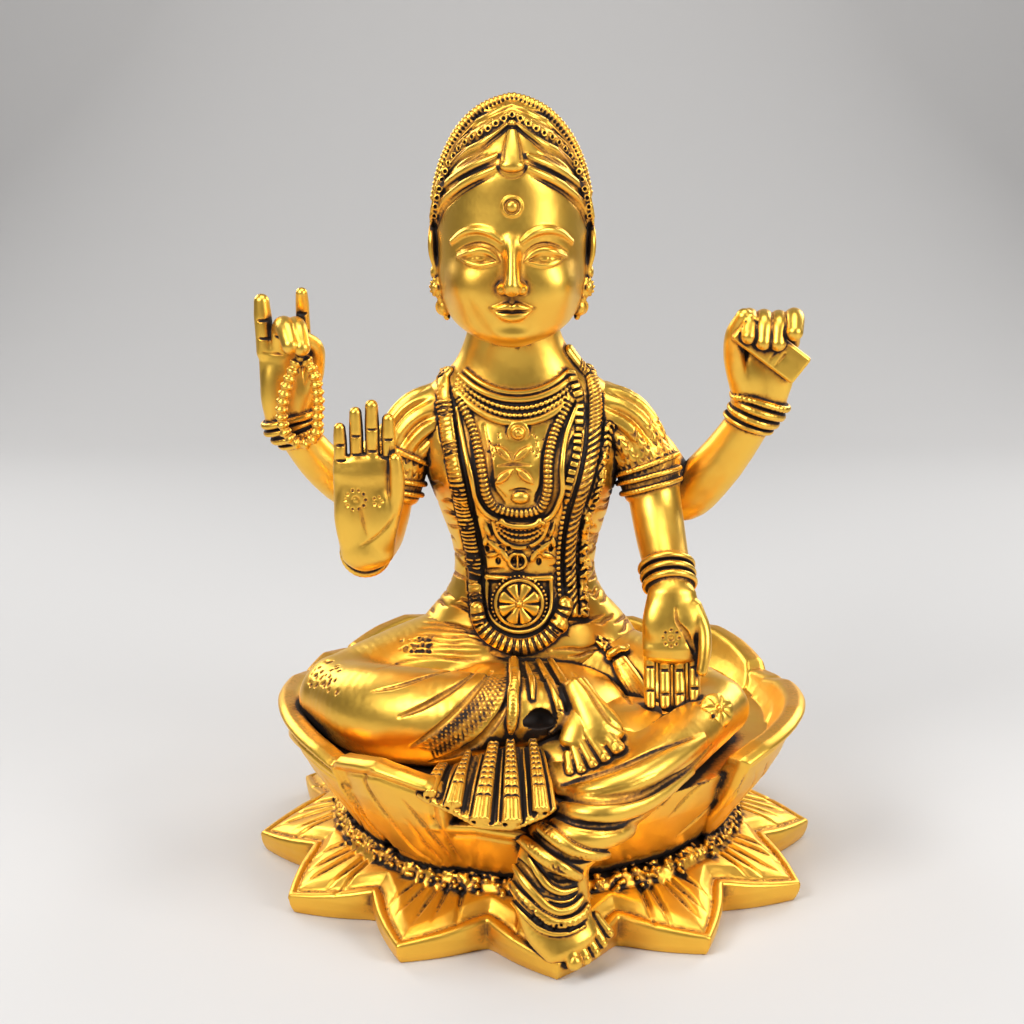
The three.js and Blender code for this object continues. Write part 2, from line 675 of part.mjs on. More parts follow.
// A rosary hung over the raised right hand, and a small palm-leaf book held in the left one.
function attributes() {
  const beads = 11;
  const middle = V(BODY_X - 57.5, -9, 131);
  const ring = Array.from({ length: 2 * beads }, (_, k) => {
    const angle = (k / (2 * beads)) * 2 * Math.PI;
    const size = k % 2 ? 1.5 : 2.5;
    const out = V(Math.cos(angle), 0, Math.sin(angle));
    const centre = V(middle.x + 4.8 * out.x, middle.y, middle.z + 11.5 * out.z);
    const forward = V(0, -size, 0);
    const outward = out.clone().multiplyScalar(size);
    return [forward, outward, forward.clone().negate(), outward.clone().negate()].map((p) => p.add(centre));
  });
  const loop = { points: ring.flat(), faces: [] };
  for (let i = 0; i < ring.length; i++)
    for (let j = 0; j < 4; j++) {
      const next = ((i + 1) % ring.length) * 4;
      const [a, b, c, d] = [i * 4 + j, i * 4 + ((j + 1) % 4), next + ((j + 1) % 4), next + j];
      loop.faces.push(a, b, c, a, c, d);
    }
  const rosary = new THREE.BufferGeometry().setFromPoints(loop.points).setIndex(loop.faces);
  const book = new THREE.BoxGeometry(19, 6, 9).rotateY(rad(32)).translate(BODY_X + 64, -8, 144);
  return [rosary, book];
}

// Her right leg lies folded with the knee out, the foot crossing to the other thigh.
function foldedLeg() {
  const thigh = limb([[-16, 3, 58], [-34, -3, 54], [-53, -11, 50.5]], [17, 15, 11], {
    thick: [14.5, 12.5, 9.8],
    face: V(0, 0, 1),
    sides: 10,
    rings: 4,
  });
  const calf = [[-54, -15, 50], [-43, -27, 51], [-26, -36, 52.5], [-8, -39, 55], [3, -39, 56]];
  const shin = limb(calf, [10.5, 12.5, 12.5, 9.5, 6], {
    sides: 14,
    rings: 5,
    flutes: 7,
    depth: 0.04,
    face: V(0, -1, 0.3),
  });
  const hem = limb([[-29, -50, 44], [-18, -50, 50], [-8, -48, 57]], 2.6, { sides: 4, rings: 3, dome: 0 });
  const foot = limb([[1, -39, 57], [10, -42, 54.5], [19, -46, 49.5]], [5, 6, 6.6], {
    thick: [4.6, 3.8, 2.4],
    face: V(0.3, -0.6, 0.8),
    rings: 3,
  });
  const toes = Array.from({ length: 5 }, (_, k) => {
    const start = V(22.6 - 3.1 * k, -46.5 - 0.9 * k, 49.5 - 1.1 * k);
    const tip = start.clone().add(V(1.4 - 0.5 * k, -3.2, -5 + 0.5 * k));
    return limb([start, tip], 2.1 - 0.15 * k, { sides: 4, rings: 2 });
  });
  const anklets = [0, 1].map((k) => {
    const x = 3.5 + 4.2 * k;
    const path = [[x, -40, 63.5], [x + 4, -46, 59.5], [x + 5.5, -48, 54], [x + 2, -47.5, 48.5]];
    return limb(path, 1.9, { sides: 3, rings: 4, dome: 0 });
  });
  const sash = [[-6, -34, 66], [-6, -45, 62], [-5.5, -50, 54], [-6.5, -50, 48]];
  return [thigh, shin, hem, foot, toes, anklets, limb(sash, 2, { sides: 3, rings: 3, dome: 0 })];
}

// Her left leg hangs: the knee is out at her left and the draped shin sweeps in to the middle of the front,
// where the foot stands on the front petal of the lower lotus.
function hangingLeg() {
  const thigh = limb([[8, 3, 55], [30, -5, 52], [48, -18, 46.5]], [16, 14, 11], {
    thick: [13, 10.5, 8.5],
    face: V(0, 0, 1),
    sides: 10,
    rings: 4,
  });
  const calf = [[49, -20, 49], [38, -38.5, 48], [25, -53, 42.5], [13, -61.5, 36], [6, -65, 29.5]];
  const shin = limb(calf, [7.5, 7.6, 8, 8, 7.5], {
    thick: [7.5, 8.5, 9.2, 9, 8],
    sides: 14,
    rings: 5,
    flutes: 7,
    depth: 0.06,
    face: V(0.2, -1, 0.3),
  });
  const hems = [0, 1, 2].map((k) => {
    const drop = 5.6 * k;
    const path = [
      [-1.8 * k, -68, 37 - drop],
      [5 - k, -72 - 0.6 * k, 31 - 1.1 * drop],
      [13 - 0.4 * k, -68 - 1.2 * k, 32 - 1.2 * drop],
    ];
    return limb(path, 2.4, { sides: 3, rings: 4, dome: 0 });
  });
  const foot = limb([[3, -65, 27], [4.5, -69, 16], [7.5, -73, 8]], [8.5, 8.5, 7], {
    thick: [7, 6, 4],
    face: V(0.1, -0.8, 0.5),
    sides: 8,
    rings: 3,
  });
  const toes = Array.from({ length: 5 }, (_, k) => {
    const start = V(4.6 + 2.3 * k, -74.2 + 0.8 * k, 6.6 + 0.9 * k);
    const tip = start.clone().add(V(1, -2.6 + 0.2 * k, -1.6));
    return limb([start, tip], 1.8 - 0.12 * k, { sides: 4, rings: 2 });
  });
  return [thigh, shin, hems, foot, toes];
}

// The pleated end of the skirt, fanned over the front of the cup: five box pleats that widen downwards.
function fan() {
  const pleats = 5;
  const valley = 1.8;
  const thickness = 4;
  const row = (v) => {
    const edge = (u, proud) => {
      const sweep = Math.sin(Math.PI * u);
      const x = lerp(lerp(-20, -30, v), lerp(2, 3.5, v), u);
      const y = lerp(-47, -69, v) - sweep * lerp(2, 7, v) - 0.5 * proud;
      return V(x, y, lerp(50, 44, v) + sweep * lerp(3, -2.5, v) + proud);
    };
    const crests = Array.from({ length: 3 * pleats + 1 }, (_, i) =>
      edge(i / (3 * pleats), i % 3 ? 0 : -valley),
    );
    const under = [1, 0.66, 0.33, 0].map((u) => edge(u, -thickness - valley));
    return [...crests, ...under];
  };
  return skin([0, 0.4, 0.75, 1].map(row));
}

// Loose cloth that fills the lap between the two thighs and hides the cup in front of it, and the flower
// on her left knee.
function lap() {
  const gathers = ball(-3, -20, 51, 27, 24, 10, 8, 5);
  const fall = ball(20, -36, 45, 27, 20, 8.5, 8, 4);
  const flower = ball(44, -38, 54, 5.4, 4, 4.4);
  return [gathers, fall, flower];
}

function figure() {
  const whole = fuse([
    torso(),
    necklaces(),
    garlands(),
    belt(),
    head(),
    face(),
    diadem(),
    hairDress(),
    plait(),
    frontArms(),
    backArms(),
    attributes(),
    foldedLeg(),
    hangingLeg(),
    fan(),
    lap(),
  ]);
  const grown = 1 + GAP / CUP_FOOT;
  const base = solid(toGeometry(lotusBase()).scale(grown, grown, 1).translate(0, 0, GAP));
  return eased(whole, FIGURE_FACES).subtract(lotusSeat(CLEARANCE)).subtract(base);
}

const brass = (name, color, roughness) =>
  new THREE.MeshStandardMaterial({ name, color, roughness, metalness: 1 });

function piece(name, made, material) {
  const mesh = new THREE.Mesh(toGeometry(made), material);
  mesh.name = name;
  return mesh;
}

const idol = new THREE.Group();
idol.name = "idol";
idol.add(piece("lotus_base", lotusBase(), brass("base_brass", 0xd08a1c, 0.34)));
idol.add(piece("lotus_seat", lotusSeat(), brass("seat_brass", 0xd6911e, 0.3)));
idol.add(piece("figure", figure(), brass("figure_brass", 0xe09c22, 0.28)));

export default idol;
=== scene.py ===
import math

import bpy
import numpy as np
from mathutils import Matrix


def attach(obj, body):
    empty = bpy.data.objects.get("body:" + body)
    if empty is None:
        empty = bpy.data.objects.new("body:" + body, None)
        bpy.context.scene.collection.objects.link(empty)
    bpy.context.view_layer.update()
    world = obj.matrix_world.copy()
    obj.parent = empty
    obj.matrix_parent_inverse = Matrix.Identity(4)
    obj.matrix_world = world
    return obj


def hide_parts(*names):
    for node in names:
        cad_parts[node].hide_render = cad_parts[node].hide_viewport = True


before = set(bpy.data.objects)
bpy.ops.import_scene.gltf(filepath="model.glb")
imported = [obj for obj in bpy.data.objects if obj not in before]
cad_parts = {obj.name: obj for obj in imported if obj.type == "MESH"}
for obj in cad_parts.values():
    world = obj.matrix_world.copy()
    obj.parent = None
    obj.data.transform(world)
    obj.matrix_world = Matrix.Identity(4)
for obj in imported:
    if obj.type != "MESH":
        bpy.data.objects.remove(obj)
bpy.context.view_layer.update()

import openvdb
from mathutils import Vector

# The view: a little above the goddess's knees and right in front of her, with a portrait lens.
FRAME_WIDTH_MM = 36
eye = bpy.data.cameras.new("eye")
eye.sensor_width = FRAME_WIDTH_MM
eye.lens = 62.93
eye.clip_start = 0.01
camera = bpy.data.objects.new("camera", eye)
camera.location = (-0.007, -0.470, 0.224)
camera.rotation_euler = (math.radians(75), 0, 0)
bpy.context.scene.collection.objects.link(camera)
bpy.context.scene.camera = camera

# The head. It is cast in one with the body, in brass, from a wax that was built up from
# rolled and pressed pieces and then cut with small tools, so it is shaped here as clay is:
# a form is a field of distances to its skin, and others are joined to it or cut out of it.
# All of it is in millimetres, with the sizes of the solids.
FAR = 9.0
ROUGHING = 1.0


def route(points, spacing, closed=False):
    """Evenly spaced rows on a smooth curve through rows of x, y, z and whatever follows, such as widths."""
    rows = np.array(points, float)
    if closed:
        rows = np.vstack([rows[-1:], rows, rows[:2]])
    else:
        rows = np.vstack([2 * rows[:1] - rows[1:2], rows, 2 * rows[-1:] - rows[-2:-1]])
    gaps = np.maximum(np.linalg.norm(np.diff(rows[:, :3], axis=0), axis=1), 1e-6) ** 0.5
    t = np.linspace(0, 1, 16, endpoint=False)[:, None]
    fine = []
    for i in range(1, len(rows) - 2):
        before, here, after = gaps[i - 1 : i + 2]
        back, ahead, beyond = rows[i] - rows[i - 1], rows[i + 1] - rows[i], rows[i + 2] - rows[i + 1]
        leave = (back / before - (back + ahead) / (before + here) + ahead / here) * here
        arrive = (ahead / here - (ahead + beyond) / (here + after) + beyond / after) * here
        start = (2 * t**3 - 3 * t**2 + 1) * rows[i] + (t**3 - 2 * t**2 + t) * leave
        fine.append(start + (3 * t**2 - 2 * t**3) * rows[i + 1] + (t**3 - t**2) * arrive)
    fine.append(rows[-2:-1])
    fine = np.vstack(fine)
    length = np.r_[0, np.cumsum(np.linalg.norm(np.diff(fine[:, :3], axis=0), axis=1))]
    count = max(2, round(length[-1] / spacing) + 1)
    at = np.linspace(0, length[-1], count)
    return np.column_stack([np.interp(at, length, column) for column in fine.T])


def unit(v):
    v = np.asarray(v, float)
    return v / np.maximum(np.linalg.norm(v, axis=-1, keepdims=True), 1e-9)


def widths(points, *values):
    """Rows of points with columns added, each a number or a list spread evenly along them."""
    points = np.array(points, float)
    places = np.linspace(0, 1, len(points))
    spread = [np.interp(places, np.linspace(0, 1, np.size(v)), np.atleast_1d(v)) for v in values]
    return np.column_stack([points[:, :3], *spread])


class Clay:
    """The distance to a form's skin on a grid of cubes, less than nothing inside."""

    def __init__(self, low, high, grain):
        self.grain = grain
        self.low = np.array(low, float)
        counts = np.ceil((np.array(high, float) - self.low) / grain).astype(int) + 1
        self.field = np.full(counts, FAR, np.float32)

    def window(self, low, high):
        start = np.floor((np.array(low) - self.low) / self.grain).astype(int)
        stop = np.ceil((np.array(high) - self.low) / self.grain).astype(int) + 1
        start = np.clip(start, 0, self.field.shape)
        stop = np.clip(stop, start, self.field.shape)
        return start, stop

    def grid(self, start, stop):
        x, y, z = [
            (self.low[k] + self.grain * np.arange(start[k], stop[k])).astype(np.float32) for k in range(3)
        ]
        return x[:, None, None], y[None, :, None], z[None, None, :]

    def lump(self, low, high):
        """An empty piece of clay on the same grid, to shape by itself and then join or cut."""
        start, stop = self.window(low, high)
        made = Clay.__new__(Clay)
        made.grain = self.grain
        made.low = self.low + start * self.grain
        made.field = np.full(stop - start, FAR, np.float32)
        return made

    def whole(self):
        """An empty piece of clay over all of the grid."""
        return self.lump(self.low, self.low + self.grain * np.array(self.field.shape))

    def place(self, lump):
        start = np.round((lump.low - self.low) / self.grain).astype(int)
        return tuple(slice(a, a + n) for a, n in zip(start, lump.field.shape))

    def join(self, lump, blend=0.0):
        part = self.place(lump)
        old = self.field[part]
        new = np.minimum(old, lump.field)
        if blend:
            new -= np.maximum(blend - np.abs(old - lump.field), 0) ** 2 / (4 * blend)
        self.field[part] = new

    def cut(self, lump, blend=0.0):
        part = self.place(lump)
        old = self.field[part]
        new = np.maximum(old, -lump.field)
        if blend:
            new += np.maximum(blend - np.abs(old + lump.field), 0) ** 2 / (4 * blend)
        self.field[part] = new

    def press(self, low, high, shape):
        """Adds a form without a fillet. Shape takes coordinate arrays and gives the distance to it."""
        start, stop = self.window(low, high)
        if (stop > start).all():
            part = tuple(slice(a, b) for a, b in zip(start, stop))
            np.minimum(self.field[part], shape(*self.grid(start, stop)), out=self.field[part])

    def tube(self, line, face=(0, -1, 0), dome=1.0, relief=None, margin=2.0):
        """A round or oval form along rows of x, y, z, half width and, if oval, half thickness along face.
        Relief takes how far along and the angle round it, and gives a height."""
        line = np.asarray(line, float)
        round_one = line.shape[1] == 4
        for i in range(len(line) - 1):
            a, b = line[i, :3], line[i + 1, :3]
            wide = line[i, 3], line[i + 1, 3]
            thick = (line[i, -1], line[i + 1, -1])
            reach = max(*wide, *thick) + margin
            length = max(float(np.linalg.norm(b - a)), 1e-6)
            along = (b - a) / length
            side = unit(np.cross(along, face if np.ndim(face) == 1 else face[i]))
            front = np.cross(side, along)

            def shape(x, y, z):
                x, y, z = x - a[0], y - a[1], z - a[2]
                run = x * along[0] + y * along[1] + z * along[2]
                t = np.clip(run / length, 0, 1)
                over = run - t * length
                w = wide[0] + (wide[1] - wide[0]) * t
                if round_one and relief is None:
                    off = x * x + y * y + z * z - run * run
                    return np.sqrt(np.maximum(off, 0) + over * over / dome**2) - w
                h = thick[0] + (thick[1] - thick[0]) * t
                across = x * side[0] + y * side[1] + z * side[2]
                up = x * front[0] + y * front[1] + z * front[2]
                end = over / (dome * np.minimum(w, h))
                q = np.sqrt((across / w) ** 2 + (up / h) ** 2 + end**2) + 1e-6
                far = np.sqrt(across**2 + up**2 + over**2)
                gap = far * (1 - 1 / q)
                if relief is not None:
                    gap = gap - relief((i + t) / (len(line) - 1), np.arctan2(up / h, across / w))
                return gap

            self.press(np.minimum(a, b) - reach, np.maximum(a, b) + reach, shape)

    def ball(self, centre, radii, turn=None, margin=2.0):
        """An egg with its half sizes along x, y and z, or along the three rows of turn."""
        radii = np.broadcast_to(radii, 3).astype(float)
        reach = radii.max() + margin if turn is not None else radii + margin
        turn = np.eye(3) if turn is None else turn

        def shape(x, y, z):
            x, y, z = x - centre[0], y - centre[1], z - centre[2]
            q, far = 1e-6, 0
            for row, radius in zip(turn, radii):
                part = x * row[0] + y * row[1] + z * row[2]
                q = q + (part / radius) ** 2
                far = far + part**2
            return np.sqrt(far) * (1 - 1 / np.sqrt(q))

        self.press(np.array(centre) - reach, np.array(centre) + reach, shape)

    def slab(self, centre, half, turn, rounding=0.5):
        """A block with rounded edges; the rows of turn are its own axes."""
        reach = float(np.linalg.norm(half)) + 2.0

        def shape(x, y, z):
            x, y, z = x - centre[0], y - centre[1], z - centre[2]
            outside, inside = 0, -FAR
            for row, h in zip(turn, half):
                over = np.abs(x * row[0] + y * row[1] + z * row[2]) - (h - rounding)
                outside = outside + np.maximum(over, 0) ** 2
                inside = np.maximum(inside, over)
            return np.sqrt(outside) + np.minimum(inside, 0) - rounding

        self.press(np.array(centre) - reach, np.array(centre) + reach, shape)

    def loft(self, levels):
        """A form through level ovals: rows of middle x, middle y, z, half width and half depth."""
        rows = route(levels, 1.0)
        rows = rows[np.argsort(rows[:, 2])]
        low = [(rows[:, 0] - rows[:, 3]).min(), (rows[:, 1] - rows[:, 4]).min(), rows[0, 2]]
        high = [(rows[:, 0] + rows[:, 3]).max(), (rows[:, 1] + rows[:, 4]).max(), rows[-1, 2]]

        def shape(x, y, z):
            level = np.clip(z, rows[0, 2], rows[-1, 2])
            cx, cy, a, b = [
                np.interp(level, rows[:, 2], rows[:, k]).astype(np.float32) for k in (0, 1, 3, 4)
            ]
            x, y = x - cx, y - cy
            q = (np.abs(x / a) ** 2.0 + np.abs(y / b) ** 2.0) ** 0.5 + 1e-6
            far = np.sqrt(x * x + y * y)
            ends = np.abs(z - (rows[0, 2] + rows[-1, 2]) / 2) - (high[2] - low[2]) / 2
            return np.maximum(far * (1 - 1 / q), ends)

        self.press(np.array(low) - 5.0, np.array(high) + 5.0, shape)

    def sample(self, points):
        at = (np.asarray(points, float) - self.low) / self.grain
        top = np.array(self.field.shape) - 1
        inside = ((at >= 0) & (at <= top)).all(axis=1)
        at = np.clip(at, 0, top - 1e-3)
        i = at.astype(int)
        f = (at - i).astype(np.float32)
        flat = self.field.reshape(-1)
        ny, nz = self.field.shape[1:]
        start = (i[:, 0] * ny + i[:, 1]) * nz + i[:, 2]
        value = np.zeros(len(at), np.float32)
        for corner in range(8):
            bits = [(corner >> k) & 1 for k in range(3)]
            weight = 1.0
            for k in range(3):
                weight = weight * (f[:, k] if bits[k] else 1 - f[:, k])
            value += weight * flat[start + (bits[0] * ny + bits[1]) * nz + bits[2]]
        return np.where(inside, value, FAR)

    def normal(self, points, reach=None):
        h = reach or self.grain
        steps = np.eye(3) * h
        return unit(np.column_stack([self.sample(points + s) - self.sample(points - s) for s in steps]))

    def settle(self, line, lift=0.0):
        """Rows moved square to the skin until they lie on it, and then out by lift."""
        line = np.array(line, float)
        for _ in range(6):
            n = self.normal(line[:, :3], 2 * self.grain)
            line[:, :3] -= n * np.clip(self.sample(line[:, :3]), -2, 2)[:, None]
        n = self.normal(line[:, :3], 3 * self.grain)
        line[:, :3] += n * lift
        return line

    def meet(self, line, toward=(0, 1, 0), start=40.0, lift=0.0):
        """Rows moved along a direction, from start mm before them, until they meet the skin. One that
        passes it by goes to the skin nearest to where it was given."""
        line = np.array(line, float)
        way = unit(toward)
        before = line[:, :3].copy()
        line[:, :3] -= way * start
        for _ in range(60):
            gap = np.clip(self.sample(line[:, :3]), -1, 3)
            line[:, :3] += way * (gap * 0.8)[:, None]
        missed = np.abs(self.sample(line[:, :3])) > 1
        line[missed, :3] = before[missed]
        return self.settle(line, lift) if lift or missed.any() else line

    def ripple(self, size, height, seed, mask=None):
        """Unevenness of the skin, with waves about size mm long."""
        counts = np.ceil(np.array(self.field.shape) * self.grain / size).astype(int) + 3
        knots = np.random.default_rng(seed).uniform(-1, 1, counts).astype(np.float32)
        for k in range(3):
            at = np.arange(self.field.shape[k]) * self.grain / size
            i = at.astype(int)
            f = at - i
            f = f * f * (3 - 2 * f)
            weights = np.zeros((len(at), counts[k]), np.float32)
            weights[np.arange(len(at)), i] = 1 - f
            weights[np.arange(len(at)), i + 1] += f
            knots = np.moveaxis(np.tensordot(weights, knots, (1, k)), 0, k)
        self.field += height * (knots if mask is None else knots * mask)


def stations(line, spacing):
    """Even steps along rows of points: the rows, and the way ahead at each."""
    rows = route(line, spacing)
    ahead = unit(np.gradient(rows[:, :3], axis=0))
    return rows, ahead


castings = []


def cast(clay, name, faces):
    """The clay's skin as a mesh of about that many triangles, in metres."""
    field = clay.field
    for k in range(3):
        edge = [slice(None)] * 3
        for end in (0, -1):
            edge[k] = end
            field[tuple(edge)] = np.maximum(field[tuple(edge)], clay.grain)
    band = 2.5 * clay.grain
    grid = openvdb.FloatGrid(band)
    grid.copyFromArray(np.clip(field, -band, band))
    points, _, quads = grid.convertToPolygons(isovalue=0.0, adaptivity=0.0)
    rough = bpy.data.meshes.new(name + "_rough")
    rough.vertices.add(len(points))
    rough.vertices.foreach_set("co", points.astype(np.float32).ravel())
    rough.loops.add(4 * len(quads))
    rough.loops.foreach_set("vertex_index", quads.astype(np.int32).ravel())
    rough.polygons.add(len(quads))
    rough.polygons.foreach_set("loop_start", np.arange(0, 4 * len(quads), 4, dtype=np.int32))
    rough.update(calc_edges=True)
    piece = bpy.data.objects.new(name, rough)
    bpy.context.scene.collection.objects.link(piece)
    fewer = piece.modifiers.new("fewer", "DECIMATE")
    fewer.ratio = min(1.0, faces / (2 * len(quads)))
    skin = bpy.data.meshes.new_from_object(piece.evaluated_get(bpy.context.evaluated_depsgraph_get()))
    skin.name = name
    piece.modifiers.clear()
    piece.data = skin
    bpy.data.meshes.remove(rough)
    at = np.empty(3 * len(skin.vertices), np.float32)
    skin.vertices.foreach_get("co", at)
    at = at.reshape(-1, 3) * clay.grain + clay.low
    skin.vertices.foreach_set("co", (at / 1000).astype(np.float32).ravel())
    skin.polygons.foreach_set("use_smooth", np.ones(len(skin.polygons), bool))
    skin.update()
    skin.normals_split_custom_set_from_vertices(clay.normal(at))
    castings.append((piece, clay, at))
    return piece


BODY_X = -5  # the goddess sits a little to her right of the lotus's middle
HEAD_X = BODY_X - 2
CHIN = 147
HAIRLINE = 187
HEAD_WIDTH = 41
THIRD = (HAIRLINE - CHIN) / 3
NOSE_BASE = CHIN + THIRD
BROW = CHIN + 2 * THIRD
EYE = BROW - 0.32 * THIRD
MOUTH = NOSE_BASE - THIRD / 3
ARCH_FOOT = 167
ARCH_TOP = 208
ARCH_POWER = 2.5
ARCH_POINT = 0.1
HALF_HEAD = HEAD_WIDTH / 2

head = Clay((HEAD_X - 27, -28, 141), (HEAD_X + 27, 30, 212), 0.27 * ROUGHING)


def arch_height(k):
    """Height of the diadem's outline, 0 at its foot and 1 at its point, at k across it from -1 to 1."""
    k = np.abs(k)
    return (1 - ARCH_POINT) * (1 - k**ARCH_POWER) ** (1 / ARCH_POWER) + ARCH_POINT * (1 - k)


ACROSS = np.linspace(-1, 1, 401)
ARCH = np.column_stack(
    [ACROSS * (HALF_HEAD + 0.2), ARCH_FOOT + (ARCH_TOP - ARCH_FOOT) * arch_height(ACROSS)]
)
half_width = lambda z: np.interp(z, ARCH[:201, 1], -ARCH[:201, 0])
face_levels = [(CHIN - 1, 0.24, 0.2, -9.6), (CHIN + 1, 0.5, 0.46, -7.8), (CHIN + 4.6, 0.75, 0.72, -4.4)]
face_levels += [(NOSE_BASE - 2, 0.91, 0.91, -1.4), (EYE, 0.95, 1.0, 0.4), (BROW + 8, 0.95, 1.02, 1.4)]
skull = [(HEAD_X, y, z, a * HALF_HEAD, b * HALF_HEAD) for z, a, b, y in face_levels]
dome_levels = [(190, 1.6, 20.9), (196, 2.4, 19.4), (201, 2.4, 16.2), (205, 1.5, 11.6), (207, 0, 6.5)]
skull += [(HEAD_X, y, z, half_width(z) - 1.2, b) for z, y, b in dome_levels]
head.loft(skull)


def on_head(half, front, back, low, high):
    """An empty piece of clay round a part of the head."""
    return head.lump((HEAD_X - half, front, low), (HEAD_X + half, back, high))


brim = on_head(24, -12, 8, 160, 211)
for x, z in ARCH[8:-8:3]:
    brim.tube([(HEAD_X + x * 0.97, -3.5, z - 1, 1.6), (HEAD_X + x * 0.9, 5, z - 2.5, 2.2)])
head.join(brim, 1.5)

# Cheeks, chin and the hollows of the eyes.
for s in (-1, 1):
    soft = on_head(20, -26, 0, 146, 184)
    soft.ball((HEAD_X + s * 8.6, -12.2, NOSE_BASE + 1.5), (6.6, 6.6, 6.8))
    head.join(soft, 4)
    socket = on_head(20, -30, -8, 160, 184)
    socket.ball((HEAD_X + s * 7.8, -22.4, EYE + 0.9), (5.9, 2.9, 2.9))
    head.cut(socket, 2.4)
chin = on_head(12, -24, -2, 141, 160)
chin.ball((HEAD_X, -14.2, CHIN + 3.8), (4.6, 3.8, 3.6))
head.join(chin, 3.5)
crease = on_head(8, -28, -10, 148, 158)
under_lip = [(HEAD_X + x, 0, MOUTH - 4.1 - 0.04 * x * x) for x in (-3, 0, 3)]
crease.tube(head.meet(widths(under_lip, [0.5, 1.1, 0.5]), lift=0.95))
head.cut(crease, 2.4)


def facing(points, height, side=1):
    """Places before the face, from how far to the side and how far up they are."""
    return [(HEAD_X + side * x, 0, height + z) for x, z in points]


def laid(points, sizes, lift, spacing=0.6):
    """A strand of clay laid on the front of the head."""
    return head.meet(route(widths(points, sizes), spacing), lift=lift)


# Nose, with a low bridge that widens to the tip.
nose = on_head(8, -30, -14, 154, 180)
front = head.meet([(HEAD_X, 0, z) for z in (BROW - 1, EYE + 0.6, NOSE_BASE + 5, NOSE_BASE + 2)])[:, 1]
ridge = [(HEAD_X, front[0] + 1.0, BROW - 1), (HEAD_X, front[1] - 0.5, EYE + 0.6)]
ridge += [(HEAD_X, front[2] - 2.1, NOSE_BASE + 5), (HEAD_X, front[3] - 3.1, NOSE_BASE + 2.2)]
nose.tube(route(widths(ridge, [1.5, 1.5, 1.8, 2.1], [2, 2.2, 2.8, 3]), 0.8))
head.join(nose, 2.4)
tip = on_head(8, -30, -14, 154, 170)
tip.ball((HEAD_X, front[3] - 3.1, NOSE_BASE + 1.7), (2.0, 1.9, 1.7))
for s in (-1, 1):
    tip.ball((HEAD_X + s * 2.4, front[3] - 1.0, NOSE_BASE + 1.3), (1.5, 2.1, 1.4))
head.join(tip, 1.3)
nostrils = on_head(8, -30, -14, 154, 166)
for s in (-1, 1):
    nostrils.ball((HEAD_X + s * 1.4, front[3] - 2.0, NOSE_BASE - 0.3), (0.6, 1.0, 0.5))
    wing = facing([(3.3, 2.9), (4.1, 1.7), (4.0, 0.4)], NOSE_BASE, s)
    nostrils.tube(head.meet(widths(wing, 0.28), lift=0.2))
head.cut(nostrils, 0.5)

# Eyes: a full lid, a lower lid and a lowered gaze, under drawn brows.
EYE_OUT = 7.9
for s in (-1, 1):
    globe = on_head(20, -26, -8, 160, 182)
    globe.ball((HEAD_X + s * EYE_OUT, -14.9, EYE), (4.9, 4.5, 3.2))
    head.join(globe, 0.7)
    lids = on_head(20, -26, -8, 160, 182)
    upper = facing([(3.3, -0.9), (5.2, 0.9), (8.0, 1.7), (11.0, 1.0), (13.6, -0.3)], EYE, s)
    lower = facing([(3.4, -0.9), (5.6, -1.7), (8.4, -2.1), (11.2, -1.5), (13.2, -0.3)], EYE, s)
    lids.tube(laid(upper, [0.35, 0.75, 0.8, 0.7, 0.4], 0.15))
    lids.tube(laid(lower, [0.3, 0.5, 0.5, 0.4], 0.1))
    head.join(lids, 0.5)
    lines = on_head(20, -26, -6, 160, 182)
    fold = facing([(3.0, 0.9), (5.0, 2.6), (8.0, 3.4), (11.4, 2.5), (14.2, 0.8)], EYE, s)
    slit = facing([(3.9, -0.8), (6.0, -0.1), (8.2, 0.2), (10.6, -0.1), (12.6, -0.5)], EYE, s)
    lines.tube(laid(fold, [0.2, 0.38, 0.38, 0.2], 0.05))
    lines.tube(laid(slit, [0.2, 0.36, 0.36, 0.2], 0.12))
    turn = np.linspace(math.radians(200), math.radians(340), 9)
    iris = [
        (HEAD_X + s * (EYE_OUT + 0.1) + 1.6 * math.cos(a), 0, EYE + 0.25 + 1.6 * math.sin(a)) for a in turn
    ]
    lines.tube(head.meet(widths(iris, 0.24), lift=0.06))
    head.cut(lines, 0.3)
    brow = facing([(2.5, -0.2), (5.2, 1.7), (8.6, 2.5), (12.2, 1.5), (15.4, -1.2)], BROW, s)
    brows = on_head(20, -26, -4, 165, 184)
    brows.tube(laid(brow, [0.35, 0.8, 0.85, 0.65, 0.3], 0.2))
    head.join(brows, 0.9)

# Lips, closed and a little turned up at the corners.
lips = on_head(9, -28, -12, 148, 162)
upper = [(-4.9, 0.5), (-2.8, 0.9), (-1.1, 1.35), (0, 0.95), (1.1, 1.35), (2.8, 0.9), (4.9, 0.5)]
lower = [(-4.3, 0.0), (-2.4, -0.9), (0, -1.3), (2.4, -0.9), (4.3, 0.0)]
lips.tube(laid(facing(upper, MOUTH), [0.35, 0.8, 1.0, 0.85, 1.0, 0.8, 0.35], 0.45, 0.5))
lips.tube(laid(facing(lower, MOUTH), [0.35, 1.0, 1.25, 1.0, 0.35], 0.35, 0.5))
head.join(lips, 0.9)
parting = on_head(9, -30, -12, 148, 164)
line = [(-5.7, 0.75), (-3.8, 0.05), (-1.4, 0.1), (0, -0.15), (1.4, 0.1), (3.8, 0.05), (5.7, 0.75)]
parting.tube(laid(facing(line, MOUTH), [0.2, 0.26, 0.26, 0.26, 0.26, 0.26, 0.2], 0.1, 0.5))
parting.tube(head.meet(widths([(HEAD_X, 0, MOUTH + 2.2), (HEAD_X, 0, NOSE_BASE - 0.8)], 0.55), lift=0.35))
head.cut(parting, 0.5)

